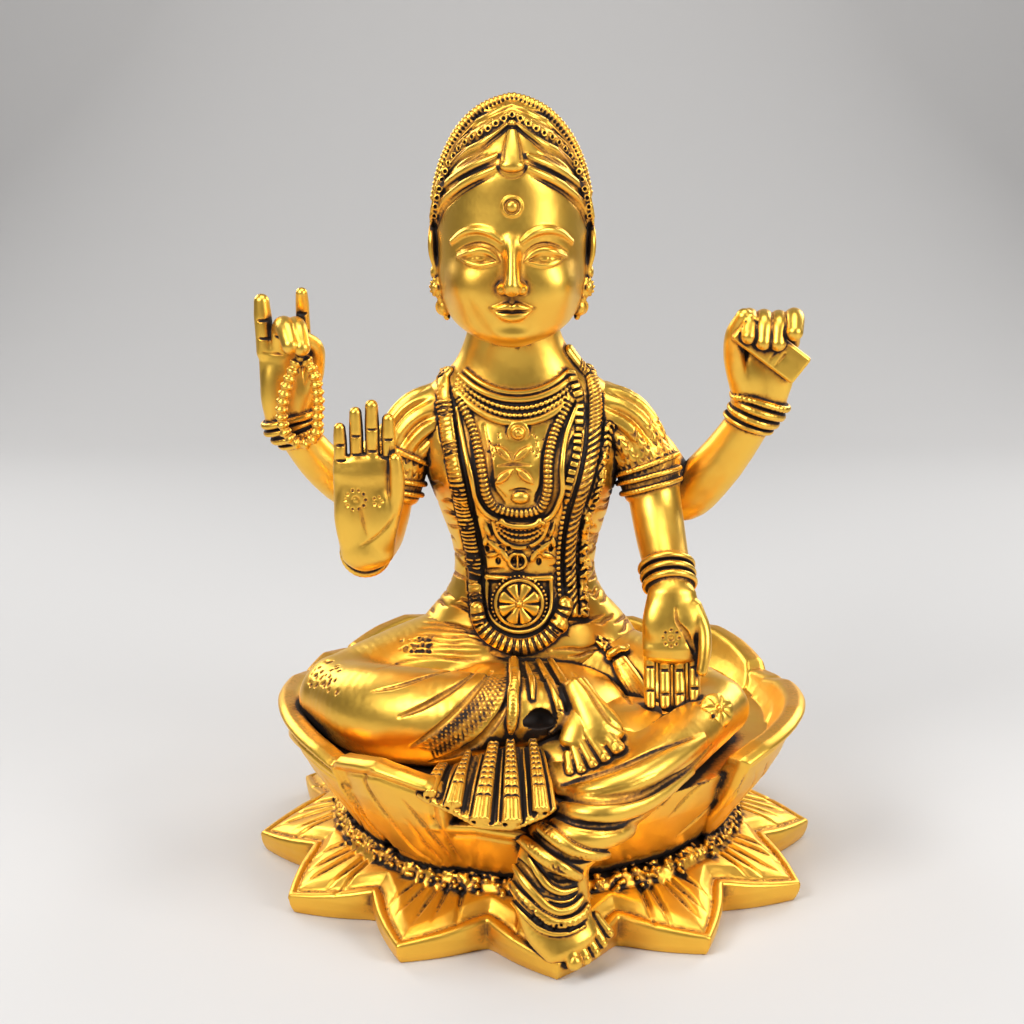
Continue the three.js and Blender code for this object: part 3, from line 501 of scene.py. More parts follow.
# The mark on the brow: a boss in a ring.
mark = head.meet([(HEAD_X, 0, BROW + 8.4)])[0]
ring_turns = np.linspace(0, 2 * math.pi, 25)
bindi = head.lump(mark - 6, mark + 6)
bindi.ball(mark, (1.5, 1.0, 1.5))
BINDI_RING = 2.35
hoop = [
    (mark[0] + BINDI_RING * math.cos(a), 0, mark[2] + BINDI_RING * math.sin(a), 0.36) for a in ring_turns
]
bindi.tube(head.meet(hoop, lift=0.1))
head.join(bindi, 0.25)

# Parted hair: a smooth panel under the diadem and two raised strips on each side, with a drop over
# the parting.
INNER_EDGE = [
    (0, 7.8), (3.8, 10.2), (7.5, 12.9), (12.1, 15.4), (15.4, 18.9), (18.2, 23.6), (19.8, 30), (20.4, 38)
]
TOP = 209.5
for s in (-1, 1):
    hair = on_head(24, -27, 12, 160, 206)
    strips = [[(3.9, 15.2), (8.9, 17.5), (13.6, 20.4), (17.4, 24.0), (19.8, 29)]]
    strips += [[(4.2, 18.2), (8.9, 20.5), (13.6, 23.5), (17.6, 27.6), (19.8, 33)]]
    for strip in strips:
        line = [(HEAD_X + s * u, 0, TOP - drop) for u, drop in strip]
        hair.tube(laid(line, [0.7, 1.15, 1.1, 0.8], 0.1, 0.8))
    head.join(hair, 0.5)
    cuts = on_head(24, -27, 12, 160, 206)
    tooled = [[(4.0, 16.7), (8.9, 19.0), (13.6, 22.0), (17.6, 25.8), (20, 31)]]
    tooled += [[(4.6, 20.0), (8.9, 22.1), (13.6, 25.2), (17.4, 29.4), (19.6, 35)]]
    tooled += [[(5.5, 12.6), (9.5, 15.4), (13.8, 18.6)], [(6.5, 14.6), (10, 16.4), (13, 18.4)]]
    for line in tooled:
        points = [(HEAD_X + s * u, 0, TOP - drop) for u, drop in line]
        cuts.tube(laid(points, [0.2, 0.45, 0.45, 0.25], 0.05, 0.7))
    head.cut(cuts, 0.35)
drop = on_head(6, -30, -8, 184, 204)
drop_line = [(HEAD_X, 0, TOP - 8.2), (HEAD_X, 0, TOP - 13), (HEAD_X, 0, TOP - 17.5)]
drop.tube(
    head.meet(route(widths(drop_line, [0.8, 2.2, 3.1], [0.8, 1.2, 1.7]), 0.8), lift=0.3), face=(0, -1, 0.4)
)
head.join(drop, 0.5)
slots = on_head(8, -30, -8, 184, 204)
for s in (-1, 1):
    slot = [(HEAD_X + s * 1.5, 0, TOP - 10.6), (HEAD_X + s * 2.4, 0, TOP - 16)]
    slots.tube(head.meet(widths(slot, [0.35, 0.6]), lift=0.1))
foot_turns = np.linspace(math.radians(200), math.radians(340), 9)
drop_foot = [(HEAD_X + 3.3 * math.cos(a), 0, TOP - 17.8 + 2.6 * math.sin(a), 0.3) for a in foot_turns]
slots.tube(head.meet(drop_foot, lift=0.1))
head.cut(slots, 0.3)

# The diadem's bands, from the corded edge inwards to the hair, with a row of small rings.
both_sides = [(-u, d) for u, d in INNER_EDGE[:0:-1]] + INNER_EDGE
inner = route([(u, 0, TOP - d) for u, d in both_sides], 0.5)[:, [0, 2]]


def band_line(share, half, thick=None, spacing=0.8, lift=0.0):
    """A line of the diadem, at share 0 on its outer edge and 1 on its inner one."""
    k = np.linspace(0.02, 0.98, 90)
    outer_at = np.column_stack([np.interp(k, np.linspace(0, 1, 401), ARCH[:, i]) for i in (0, 1)])
    inner_at = np.column_stack([np.interp(k, np.linspace(0, 1, len(inner)), inner[:, i]) for i in (0, 1)])
    line = outer_at * (1 - share) + inner_at * share
    rows = widths([(HEAD_X + x, 0, z) for x, z in line], half, half if thick is None else thick)
    return head.meet(route(rows, spacing), lift=lift)


bands = on_head(27, -24, 14, 158, 212)
for share, half, thick in ((0.3, 0.75, 0.6), (0.62, 1.35, 0.7), (0.93, 0.8, 0.7)):
    bands.tube(band_line(share, half, thick, lift=0.15), face=(0, -1, 0.5))
head.join(bands, 0.3)
scores = on_head(27, -24, 14, 158, 212)
for share, half in ((0.17, 0.42), (0.42, 0.4), (0.79, 0.42), (1.08, 0.4)):
    scores.tube(band_line(share, half, lift=0.05))
head.cut(scores, 0.3)
rings = on_head(27, -26, 14, 158, 212)
holes = on_head(27, -26, 14, 158, 212)
for row in band_line(0.62, 1, spacing=2.3)[1:-1]:
    n = head.normal(row[None, :3], 0.6)[0]
    a = unit(np.cross(n, (0.1, 0.2, 1)))
    b = np.cross(n, a)
    small = [row[:3] + 0.75 * (math.cos(t) * a + math.sin(t) * b) for t in np.linspace(0, 2 * math.pi, 9)]
    rings.tube(head.settle(widths(small, 0.33), 0.12))
    holes.ball(row[:3] + 0.1 * n, 0.42)
head.join(rings, 0.15)
head.cut(holes, 0.1)
cord = on_head(27, -10, 10, 158, 212)
rim = route([(HEAD_X + x, -3.4, z, 1.15) for x, z in ARCH[10:-10:6]], 1.15)
cord.tube(rim)
for row in rim:
    cord.ball(row[:3], (1.5, 1.5, 1.5))
head.join(cord, 0.3)
cuts = on_head(27, -10, 10, 158, 212)
for row, ahead in zip(*stations(rim, 1.15)):
    across = unit(np.cross(ahead, (0, 1, 0)))
    at = row[:3] + ahead * 0.57
    turned = [
        at + 1.55 * (across * math.cos(t) - np.array((0, 1, 0)) * math.sin(t))
        for t in np.linspace(-1, 4, 9)
    ]
    cuts.tube(widths(turned, 0.26))
head.cut(cuts, 0.2)

# Ears with a disc and a drop, and the hair behind, combed in waves to the nape.
for s in (-1, 1):
    x = HEAD_X + s * (HALF_HEAD - 0.9)
    ear = head.lump((x - 8, -12, 144), (x + 8, 12, 184))
    ear.ball((x - s * 0.4, 1.5, EYE + 0.2), (2.2, 3.6, 6.4))
    shell = [(0.2, -2.4, -5), (1.2, -2.6, -1), (1.3, -2.2, 3), (1.0, 0.2, 6), (0.8, 3.2, 5.6), (0.7, 4.6, 1)]
    ear.tube(
        route(widths([(x + s * u, y, EYE + z) for u, y, z in shell], [0.8, 0.9, 0.95, 0.9, 0.8, 0.6]), 0.8)
    )
    ear.ball((x + s * 0.2, -1.2, EYE - 6), (1.6, 2.0, 2.2))
    head.join(ear, 0.9)
    pit = head.lump((x - 8, -12, 144), (x + 8, 12, 184))
    pit.tube(route(widths([(x + s * 2.0, 0.3, EYE + 3.4), (x + s * 1.9, -0.4, EYE - 3)], [0.5, 0.8]), 1))
    head.cut(pit, 0.5)
    ring = head.lump((x - 10, -16, 142), (x + 8, 12, 168))
    disc = np.array([x - s * 0.5, -3.4, NOSE_BASE - 0.6])
    out = unit((s * 0.75, -1, 0.1))
    flat = unit(np.cross(out, (0, 0, 1)))
    frame_of = np.array([flat, np.cross(flat, out), out])
    ring.ball(disc, (2.5, 2.7, 1.3), frame_of)
    ring.ball(disc + out * 1.0, (1.1, 1.1, 0.9), frame_of)
    for t in np.linspace(0, 2 * math.pi, 12, endpoint=False):
        ring.ball(disc + 2.3 * (math.cos(t) * frame_of[0] + math.sin(t) * frame_of[1]) + out * 0.5, 0.5)
    low = disc + np.array([-s * 1.6, 0.6, -5.2])
    ring.tube([(*disc, 1.3), (*low, 1.5)])
    ring.ball(low, (2.1, 2.0, 2.5))
    hoop = [low + (2.2 * math.cos(t), -0.6 * math.sin(t), 2.2 * math.sin(t)) for t in ring_turns]
    ring.tube(widths(hoop, 0.45))
    ring.ball(low + (-s * 0.4, 0.2, -2.7), 0.9)
    head.join(ring, 0.35)
locks = on_head(24, -6, 30, 142, 204)
locks.ball((HEAD_X, 11.5, 177), (18.9, 13.6, 21), margin=4)
locks.ball((HEAD_X + 0.5, 14, 157), (10.5, 7.5, 11), margin=4)
head.join(locks, 4)
combed = on_head(24, 0, 30, 142, 206)
for k in range(-8, 9):
    u = k / 8
    line = [
        (HEAD_X + 19 * u, 0, 184 + 12 * (1 - u * u)), (HEAD_X + 17 * u, 0, 172), (HEAD_X + 8 * u, 0, 158),
        (HEAD_X + 3.5 * u, 0, 149)
    ]
    combed.tube(head.meet(route(widths(line, [0.3, 0.5, 0.5, 0.3]), 0.8), toward=(0, -1, 0), lift=0.05))
head.cut(combed, 0.5)
head.ripple(5.0, 0.07, 3)
head.ripple(1.7, 0.022, 4)
head_piece = cast(head, "crowned_head", 145000)
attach(head_piece, "root")
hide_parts("figure")

# The body from the neck to the seat, with all that hangs on the chest. Rolled cords and strings
# of beads were laid on the wax, and the spaces between them were cut deep, so they read as black.
CHEST = [(0, 6, 44, 30, 21), (0, 5.6, 52, 29.4, 20.6), (2, 4.5, 60, 28, 19.5), (1.5, 4, 71, 23.5, 15.5)]
CHEST += [(1.5, 4, 80, 19.6, 13), (1.5, 3.8, 88, 19.8, 13), (1.2, 3, 99, 23, 15), (0.6, 2.6, 112, 27, 16)]
CHEST += [
    (0.2, 3.6, 123, 28.6, 13.8), (0, 4, 131, 25.4, 12), (-0.6, 3.8, 138, 17.5, 10.8),
    (-1.4, 2.8, 145, 13.2, 10)
]
CHEST += [(-1.8, 2, 153, 11.4, 9.8)]
body = Clay((BODY_X - 37, -26, 43), (BODY_X + 37, 31, 153), 0.25 * ROUGHING)
body.loft([(BODY_X + x, y, z, a, b) for x, y, z, a, b in CHEST])
for s in (-1, 1):
    bust = body.lump((BODY_X - 30, -28, 92), (BODY_X + 30, 4, 132))
    bust.ball((BODY_X + 1 + s * 10.5, -7, 111.5), (9, 6.6, 8.6), margin=4)
    body.join(bust, 5)
    hip = body.lump((BODY_X - 37, -20, 44), (BODY_X + 37, 26, 78))
    hip.ball((BODY_X + 1.5 + s * 17, 3, 56), (15, 15, 15), margin=4)
    body.join(hip, 6)


def chest(points, half, thick=None, lift=0.0):
    """Rows on the front of the body through points, measured across from its middle and up."""
    rows = widths([(BODY_X + u, 0, z) for u, z in points], half, half if thick is None else thick)
    return body.meet(route(rows, 0.7), start=50, lift=lift)


def spot(u, z, lift=0.0):
    """One place on the front of the body."""
    return chest([(u, z), (u, z + 0.1)], 1, lift=lift)[0, :3]


def over(line, spacing, clay):
    """Steps along a line with the way ahead, the way out of the skin and the way across."""
    rows, ahead = stations(line, spacing)
    out = clay.normal(rows[:, :3], 3 * clay.grain)
    across = unit(np.cross(ahead, out))
    return rows, ahead, out, across


def bars(lump, clay, line, spacing, half, thick, slant=0.0):
    """Short rods laid across a line, leaning by slant."""
    for row, ahead, _, across in zip(*over(line, spacing, clay)):
        way = across + slant * ahead
        reach = row[3] * half
        mid = row[:3]
        lump.tube([(*(mid - way * reach), thick), (*mid, thick), (*(mid + way * reach), thick)], margin=1.2)


def ribs(lump, line, outs, spacing, size, slant=0.0, first=1, last=-1):
    """Thin rods bent over a strand whose skin faces outs."""
    rows, ahead = stations(line, spacing)
    for row, way in list(zip(rows, ahead))[first:last]:
        out = outs[np.argmin(np.linalg.norm(line[:, :3] - row[:3], axis=1))]
        across = unit(np.cross(way, out))
        bend = []
        for a in (-1.35, -0.7, 0, 0.7, 1.35):
            at = row[:3] + (across + way * slant) * row[3] * math.sin(a) + out * row[4] * math.cos(a)
            bend.append((*at, size))
        lump.tube(bend, margin=1.2)


def beads(lump, line, spacing, radius):
    for row in route(line, spacing):
        lump.ball(row[:3], radius, margin=1.2)


CHEST_LOW, CHEST_HIGH = (BODY_X - 34, -30, 52), (BODY_X + 34, 8, 150)
# Spaces between the strands.
RIGHT_GAP = [
    (-16.2, 132), (-16.2, 124), (-14.6, 116), (-13.4, 106), (-12.2, 98), (-10.2, 88), (-9.4, 78),
    (-9.4, 72)
]
LEFT_GAP = [
    (15.6, 134), (17.2, 126), (13.2, 118), (11.9, 110), (12.4, 102), (11.8, 94), (11.6, 84), (11.6, 76)
]
gaps = body.lump(CHEST_LOW, CHEST_HIGH)
gaps.tube(chest(RIGHT_GAP, [0.5, 0.8, 0.9, 1.1, 1.2, 0.9, 0.7], lift=0.2))
gaps.tube(chest(LEFT_GAP, [0.5, 0.8, 0.9, 0.9, 0.8, 0.7], lift=0.2))
gaps.tube(chest([(-9.4, 124), (-8, 116), (-7.2, 108), (-4.6, 104)], [0.4, 0.8, 0.9, 0.7], lift=0.2))
gaps.tube(chest([(8.4, 124), (6.6, 117), (6.1, 109), (4.6, 104.6)], [0.4, 0.8, 0.9, 0.7], lift=0.2))
gaps.tube(
    chest(
        [
            (-12.4, 120), (-11.2, 111), (-10.2, 104), (-6.6, 100.4), (0, 98.6), (6.4, 100.2), (9.3, 106),
            (9.5, 114), (11.4, 123)
        ],
        0.7, lift=0.3
    )
)
body.cut(gaps, 0.6)

# Collar of five strands, a boss on it, and the long ribbed cord with a plain one outside it.
COLLAR = [(13.4, 137.4, 132.6, 0.75, 0), (14.8, 136.2, 130.8, 0.95, 0), (15.4, 135, 128.6, 0.8, 1.3)]
COLLAR += [(15.8, 133.8, 126.7, 0.8, 1.3), (16.2, 132.4, 124.9, 1.0, 0)]
strands = body.lump(CHEST_LOW, CHEST_HIGH)
for reach, high, low, half, beading in COLLAR:
    drop = high - low
    points = [(-0.6 + reach * k, high - drop * (1 - abs(k) ** 2.1)) for k in np.linspace(-1, 1, 9)]
    line = chest(points, half, lift=0.35)
    if beading:
        beads(strands, line, beading, half * 0.95)
    else:
        strands.tube(line)
RIBBED = [
    (-16.2, 131.5), (-12.9, 124.8), (-10.9, 118.6), (-9.6, 111.5), (-8.7, 106.5), (-6.4, 102.9), (0, 101.2)
]
RIBBED += [(5.4, 102.6), (7.4, 108), (7.7, 115.8), (9.5, 123), (13.4, 130.7)]
ribbed = chest(RIBBED, 1.3, 1.1, lift=0.3)
ribbed_out = body.normal(ribbed[:, :3], 2.0)
strands.tube(ribbed, face=ribbed_out)
PLAIN = [
    (-16.4, 128), (-14.3, 119), (-12.5, 111), (-11.2, 104.5), (-7.8, 100), (0, 98), (7.6, 99.6),
    (10.8, 106)
]
PLAIN += [(11.0, 114), (12.4, 122), (14.6, 128)]
strands.tube(chest(PLAIN, 0.7, lift=0.45))
body.join(strands, 0.3)
notches = body.lump(CHEST_LOW, CHEST_HIGH)
ribs(notches, ribbed, ribbed_out, 1.25, 0.3)
body.cut(notches, 0.15)
boss_at = spot(-0.4, 122.6)
boss = body.lump(CHEST_LOW, CHEST_HIGH)
boss.ball(boss_at, (2.7, 1.3, 2.7))
boss.ball(boss_at + (0, -1.0, 0), (1.9, 1.2, 1.9))
boss.tube(
    widths(
        [boss_at + (2.6 * math.cos(t), -0.4, 2.6 * math.sin(t)) for t in np.linspace(0, 6.28, 17)], 0.42
    )
)
body.join(boss, 0.25)
groove = body.lump(CHEST_LOW, CHEST_HIGH)
groove.tube(
    widths(
        [boss_at + (1.15 * math.cos(t), -2.0, 1.15 * math.sin(t)) for t in np.linspace(0.3, 5.6, 13)], 0.28
    )
)
body.cut(groove, 0.15)


def leaf(lump, clay, at, reach, half, turn, thick=0.8, lift=0.1):
    """A pointed leaf pressed on the skin: its middle, half length, half width and turn in degrees."""
    way = math.radians(turn)
    points = [
        (at[0] + reach * k * math.cos(way), 0, at[1] + reach * k * math.sin(way))
        for k in (-1, -0.5, 0, 0.5, 1)
    ]
    rows = widths(points, [0.2, half * 0.85, half, half * 0.75, 0.15], [0.2, thick, thick, thick * 0.8, 0.2])
    lump.tube(clay.meet(rows, start=50, lift=lift), margin=1.2)


# Below the boss: crossed leaves, a round bud, and granular ground at the corners.
flowers = body.lump(CHEST_LOW, CHEST_HIGH)
for u, z, turn in ((-4.3, 117.3, -40), (0.8, 117.3, 38), (-4.2, 111.4, 38), (1.4, 111.4, -42)):
    leaf(flowers, body, (BODY_X + u, z), 2.9, 1.15, turn)
flowers.ball(spot(0.2, 105.6), (2.5, 1.5, 1.8))
body.join(flowers, 0.2)
veins = body.lump(CHEST_LOW, CHEST_HIGH)
for u, z, turn in ((-4.3, 117.3, -40), (0.8, 117.3, 38), (-4.2, 111.4, 38), (1.4, 111.4, -42)):
    leaf(veins, body, (BODY_X + u, z), 2.0, 0.28, turn, 0.3, 0.05)
for line in (
    [(-5.6, 114.3), (-1.6, 114.6), (2.8, 114.3)], [(-2.6, 107.4), (0.2, 107.8), (3, 107.4)],
    [(-6, 108.6), (-3.6, 105.6)], [(5.6, 108.6), (4, 105.8)]
):
    veins.tube(chest(line, [0.3, 0.45, 0.3], lift=0.1))
rng = np.random.default_rng(11)
for side in (-1, 1):
    for _ in range(12):
        u, z = side * rng.uniform(4.2, 7.4) - 0.8, rng.uniform(116.5, 122.5)
        veins.ball(spot(u, z), 0.32)
body.cut(veins, 0.15)

# The crescent with a fringe of grains, the leafy openwork below it and its small ring.
crescent = body.lump(CHEST_LOW, CHEST_HIGH)
for k, (half, low, size) in enumerate(((5.4, 96.6, 0.55), (6.0, 95.0, 0.6), (6.5, 93.3, 0.62))):
    points = [(0.3 + half * math.sin(t), 99 - (99 - low) * math.cos(t)) for t in np.linspace(-1.45, 1.45, 9)]
    beads(crescent, chest(points, 1, lift=0.3), 1.15, size)
points = [(0.3 + 5 * math.sin(t), 99.2 - 1.6 * math.cos(t)) for t in np.linspace(-1.5, 1.5, 9)]
crescent.tube(chest(points, 0.7, lift=0.3))
points = [(0.3 + 7.2 * math.sin(t), 99 - 8 * math.cos(t)) for t in np.linspace(-1.5, 1.5, 9)]
crescent.tube(chest(points, 0.6, lift=0.35))
for side in (-1, 1):
    for u, z, reach, half, turn in (
        (8.4, 96, 2.4, 0.9, 70), (6.6, 91.2, 2.6, 1.0, 40), (3.9, 88.6, 2.3, 0.9, 65),
        (7.4, 88.4, 2.0, 0.8, -20), (9.0, 92.4, 1.7, 0.8, 100)
    ):
        leaf(crescent, body, (BODY_X + side * u, z), reach, half, turn if side > 0 else 180 - turn)
    curl = [(side * (4.9 + 1.5 * math.cos(t)), 90.6 + 1.4 * math.sin(t)) for t in np.linspace(-1.5, 3.4, 9)]
    crescent.tube(chest(curl, 0.45, lift=0.2))
ring = [(-0.5 + 2.3 * math.cos(t), 86.9 + 2.3 * math.sin(t)) for t in np.linspace(0, 2 * math.pi, 17)]
crescent.tube(chest(ring, 0.5, lift=0.25))
crescent.tube(chest([(-0.5, 88.8), (-0.5, 85.2)], 0.35, lift=0.2))
body.join(crescent, 0.2)
dark = body.lump(CHEST_LOW, CHEST_HIGH)
for u, z, size in (
    (-2.9, 90.9, 0.6), (2.4, 90.9, 0.6), (-1.5, 87.0, 0.7), (0.6, 87.0, 0.7), (-5.7, 86.6, 0.7),
    (5.2, 86.6, 0.7), (-8.6, 89.9, 0.6), (8.4, 90.2, 0.6)
):
    dark.ball(spot(u, z, 0.1), (size, 1.2, size * 1.4))
under = [(0.3 + 8.2 * math.sin(t), 99 - 9.2 * math.cos(t)) for t in np.linspace(-1.4, 1.4, 9)]
dark.tube(chest(under, 0.4, lift=0.2))
body.cut(dark, 0.3)

# Garlands: a flat banded one on her right, a roped one on her left between a string of
# blocks and a leafy strap, and the plate of the belt with its eight-petalled medallion.
BANDED = [
    (-19.8, 138), (-20.1, 134), (-19.6, 127), (-18.7, 120.5), (-16.5, 109.6), (-14.5, 98.7), (-12.6, 88),
    (-11.6, 77), (-11.0, 71)
]
ROPED = [
    (13.6, 143), (17.2, 139.5), (19.8, 131.3), (19.6, 120.5), (18, 112.3), (15.8, 104), (13.8, 93),
    (13.6, 82.5), (14.4, 72)
]
STRAP = [(23.6, 124), (22.3, 117.7), (20, 107), (17.9, 98.7), (17.2, 88), (16.9, 77), (17.6, 71)]
BLOCKS = [(13.4, 137), (15.4, 131), (15.5, 125), (14.9, 117.5), (13.4, 111.5), (12.4, 105)]
GRAINS = [(12.2, 104), (11.2, 98.7), (10.4, 90), (10.4, 82), (10.9, 74)]
garland = body.lump(CHEST_LOW, CHEST_HIGH)
banded = chest(BANDED, [1.8, 2.1, 2.2, 2.3, 2.2, 2.2, 2.0], 1.0, lift=0.35)
banded_out = body.normal(banded[:, :3], 2.0)
garland.tube(banded, face=banded_out)
roped = chest(ROPED, [2.0, 2.1, 2.0, 1.9, 1.75, 1.7, 1.6], 1.3, lift=0.45)
roped_out = body.normal(roped[:, :3], 2.0)
garland.tube(roped, face=roped_out)
strap = chest(STRAP, [1.5, 1.6, 1.4, 1.3], 0.9, lift=0.25)
garland.tube(strap, face=body.normal(strap[:, :3], 1.5))
body.join(garland, 0.35)
garland = body.lump(CHEST_LOW, CHEST_HIGH)
for row, ahead, out, across in zip(*over(chest(BLOCKS, [1.3, 1.2, 0.9]), 2.0, body)):
    garland.slab(row[:3] + out * 0.2, (row[3], 0.7, 0.75), np.array([across, ahead, out]), 0.3)
beads(garland, chest(GRAINS, 1, lift=0.25), 1.55, 0.68)
for row, ahead, out, across in list(zip(*over(body.settle(strap, 0.1), 1.9, body)))[1:-1]:
    for side in (-1, 1):
        a = row[:3] + out * 0.15 - ahead * 0.5
        b = a + side * across * 1.25 + ahead * 1.2
        garland.tube([(*a, 0.5), (*((a + b) / 2 + out * 0.3), 0.55), (*b, 0.3)], margin=1.2)
body.join(garland, 0.2)

marks = body.lump(CHEST_LOW, CHEST_HIGH)
raised = body.lump(CHEST_LOW, CHEST_HIGH)
for first in range(2, 60, 9):
    ribs(raised, banded, banded_out, 1.25, 0.42, first=first, last=first + 4)
ribs(marks, banded + (0, 0, 0.62, 0, 0), banded_out, 1.25, 0.26, first=2)
rows, ahead = stations(banded, 5.6)
for row, way in list(zip(rows, ahead))[1:-1]:
    out = banded_out[np.argmin(np.linalg.norm(banded[:, :3] - row[:3], axis=1))]
    side = unit(np.cross(way, out))
    at = row[:3] + out * (row[4] + 0.1)
    curl = [at + 1.2 * math.cos(t) * side + 1.2 * math.sin(t) * way for t in np.linspace(0.4, 5.4, 9)]
    marks.tube(widths(curl, 0.3), margin=1.2)
ribs(marks, roped, roped_out, 1.1, 0.28, slant=0.5, first=4, last=26)
ribs(marks, roped, roped_out, 1.9, 0.36, slant=0.9, first=15)
body.join(raised, 0.2)
edges = [[(u + 2.3 + 0.02 * (z - 100), z) for u, z in BANDED[2:]], [(u - 2.35, z) for u, z in BANDED[2:]]]
edges += [[(u - 2.0 * w, z) for (u, z), w in zip(ROPED[2:], (1.1, 1.05, 1, 0.95, 0.9, 0.9, 0.9))]]
edges += [[(u + 2.05 * w, z) for (u, z), w in zip(ROPED[2:], (1.1, 1.05, 1, 0.95, 0.9, 0.9, 0.9))]]
for line in edges:
    marks.tube(chest(line, [0.3, 0.5, 0.5, 0.5, 0.3], lift=0.1))
body.cut(marks, 0.2)

PLATE_TOP, PLATE_HALF, MEDAL = 82.6, 8.3, (-0.1, 75.4)
belt = body.lump(CHEST_LOW, CHEST_HIGH)
FRAME = [(-PLATE_HALF, PLATE_TOP - 0.4), (-PLATE_HALF, 74)]
FRAME += [(MEDAL[0] + PLATE_HALF * math.cos(t), 74.4 + 6.6 * math.sin(t)) for t in np.linspace(3.4, 6.0, 9)]
FRAME += [(PLATE_HALF, 74), (PLATE_HALF, PLATE_TOP - 0.4)]
belt.tube(chest(FRAME, 0.6, lift=0.6))
belt.tube(chest([(-8.4, PLATE_TOP - 0.7), (0, PLATE_TOP - 0.7), (8.4, PLATE_TOP - 0.7)], 0.8, lift=0.5))
medal = spot(*MEDAL)
plate_out = unit((0, -1, 0.14))
plate_up = np.array([0, 0.14, 1.0])
belt.ball(medal, (6.3, 1.9, 6.3))


def spin(r, t, lift):
    """A point of the medallion, r from its middle, at angle t round it and lifted off it."""
    sideways = medal + r * math.cos(t) * np.array([1, 0, 0])
    return sideways + r * math.sin(t) * plate_up + plate_out * lift


TURNS = np.linspace(0, 2 * math.pi, 41)
belt.tube(widths([spin(6.2, t, 1.2) for t in TURNS], 0.62))
for t in TURNS[:-1]:
    belt.ball(spin(7.3, t, 0.7), 0.46, margin=1.2)
body.join(belt, 0.25)
petals = body.lump(CHEST_LOW, CHEST_HIGH)
for k in range(8):
    t = (k + 0.5) * math.pi / 4
    petals.tube(
        widths(
            [spin(1.3, t, 1.9), spin(3.0, t, 1.7), spin(4.9, t, 1.4)], [0.5, 1.1, 1.75], [0.4, 0.7, 0.8]
        ),
        face=-plate_out, margin=1.2
    )
petals.ball(spin(0, 0, 2.0), 0.95)
wells = body.lump(CHEST_LOW, CHEST_HIGH)
for k in range(8):
    t = k * math.pi / 4
    wells.tube(
        widths([spin(1.5, t, 2.1), spin(3.3, t, 2.1), spin(5.0, t, 1.8)], [0.25, 0.55, 0.8]), margin=1.2
    )
wells.tube(widths([spin(5.55, t, 1.4) for t in TURNS], 0.35))
body.cut(wells, 0.2)
body.join(petals, 0.15)

# A thick fluted swag hangs under the belt, with a knot where the left garlands end.
SWAG = [
    (-11.2, 74), (-10.8, 71), (-8.6, 67.4), (-4.2, 65), (0.2, 64.2), (4.8, 65.2), (8.6, 67.6),
    (10.8, 71.4), (12.6, 75)
]
swag = chest(SWAG, [1.8, 2.1, 2.2, 2.2, 2.1, 1.8], 1.6, lift=1.5)
rope = body.lump((BODY_X - 34, -34, 50), (BODY_X + 34, 8, 90))
swag_out = np.repeat([unit((0, -1, 0.2))], len(swag), axis=0)
rope.tube(swag, face=swag_out)
knot = spot(10.2, 69.4, 1.6)
rope.ball(knot, (2.6, 2.2, 2.6))
body.join(rope, 0.4)
flutes = body.lump((BODY_X - 34, -34, 50), (BODY_X + 34, 8, 90))
ribs(flutes, swag, swag_out, 1.9, 0.4)
flutes.tube(
    widths([knot + (1.7 * math.cos(t), -1.9, 1.7 * math.sin(t)) for t in np.linspace(0, 5.2, 13)], 0.3)
)
body.cut(flutes, 0.25)

# Cloth drawn tight round the flanks, in small crossing wrinkles.
rng = np.random.default_rng(8)
CHEST_LEVELS = [row[2] for row in CHEST]
wrinkles = body.lump((BODY_X - 36, -26, 52), (BODY_X + 36, 30, 118))
for side in (-1, 1):
    for _ in range(46):
        turn = rng.uniform(0.15, 1.9)
        z = rng.uniform(58, 108)
        reach = rng.uniform(0.15, 0.4)
        a = np.interp(z, CHEST_LEVELS, [row[3] for row in CHEST])
        b = np.interp(z, CHEST_LEVELS, [row[4] for row in CHEST])
        arc = np.linspace(turn - reach, turn + reach, 5)
        line = [
            (
                BODY_X + 1.4 + side * a * math.sin(t + 0.45), 3.8 - b * math.cos(t + 0.45),
                z + rng.uniform(-0.8, 0.8)
            )
            for t in arc
        ]
        wrinkles.tube(route(body.settle(widths(line, [0.15, 0.45, 0.5, 0.45, 0.15]), 0.05), 1.0), margin=1.2)
body.cut(wrinkles, 0.5)

# One plait down the back.
plait = body.lump((BODY_X - 12, 8, 60), (BODY_X + 14, 31, 152))
PLAIT = [
    (HEAD_X + 1, 14.5, 152, 5.2), (BODY_X + 1, 14.4, 138, 5), (BODY_X + 1, 17.8, 118, 4.6),
    (BODY_X + 1, 16.6, 96, 3.9), (BODY_X + 1, 18.6, 78, 3)
]
rows, ahead = stations(PLAIT, 3.6)
for k, (row, way) in enumerate(zip(rows, ahead)):
    for side in (-1, 1):
        a = row[:3] + np.array([side * row[3] * 0.75, 0, 1.6])
        plait.tube(
            [(*a, row[3] * 0.42), (*(row[:3] + (side * 0.3, row[3] * 0.32, -1.4)), row[3] * 0.5)],
            margin=1.5
        )
for k in range(3):
    plait.ball((BODY_X + 1, 18.8, 74 - 3.4 * k), (3.2 - 0.5 * k, 2.8 - 0.4 * k, 2.0))
body.join(plait, 0.5)
body.ripple(5.0, 0.06, 5)
body.ripple(1.5, 0.03, 6)
body_piece = cast(body, "body_with_jewels", 195000)
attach(body_piece, "root")
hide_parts("figure")

# The right arms: a short pleated sleeve, the front hand open in blessing and the back one holding
# up a rosary. Palms, fingers and bangles were modelled in wax and chased after casting.


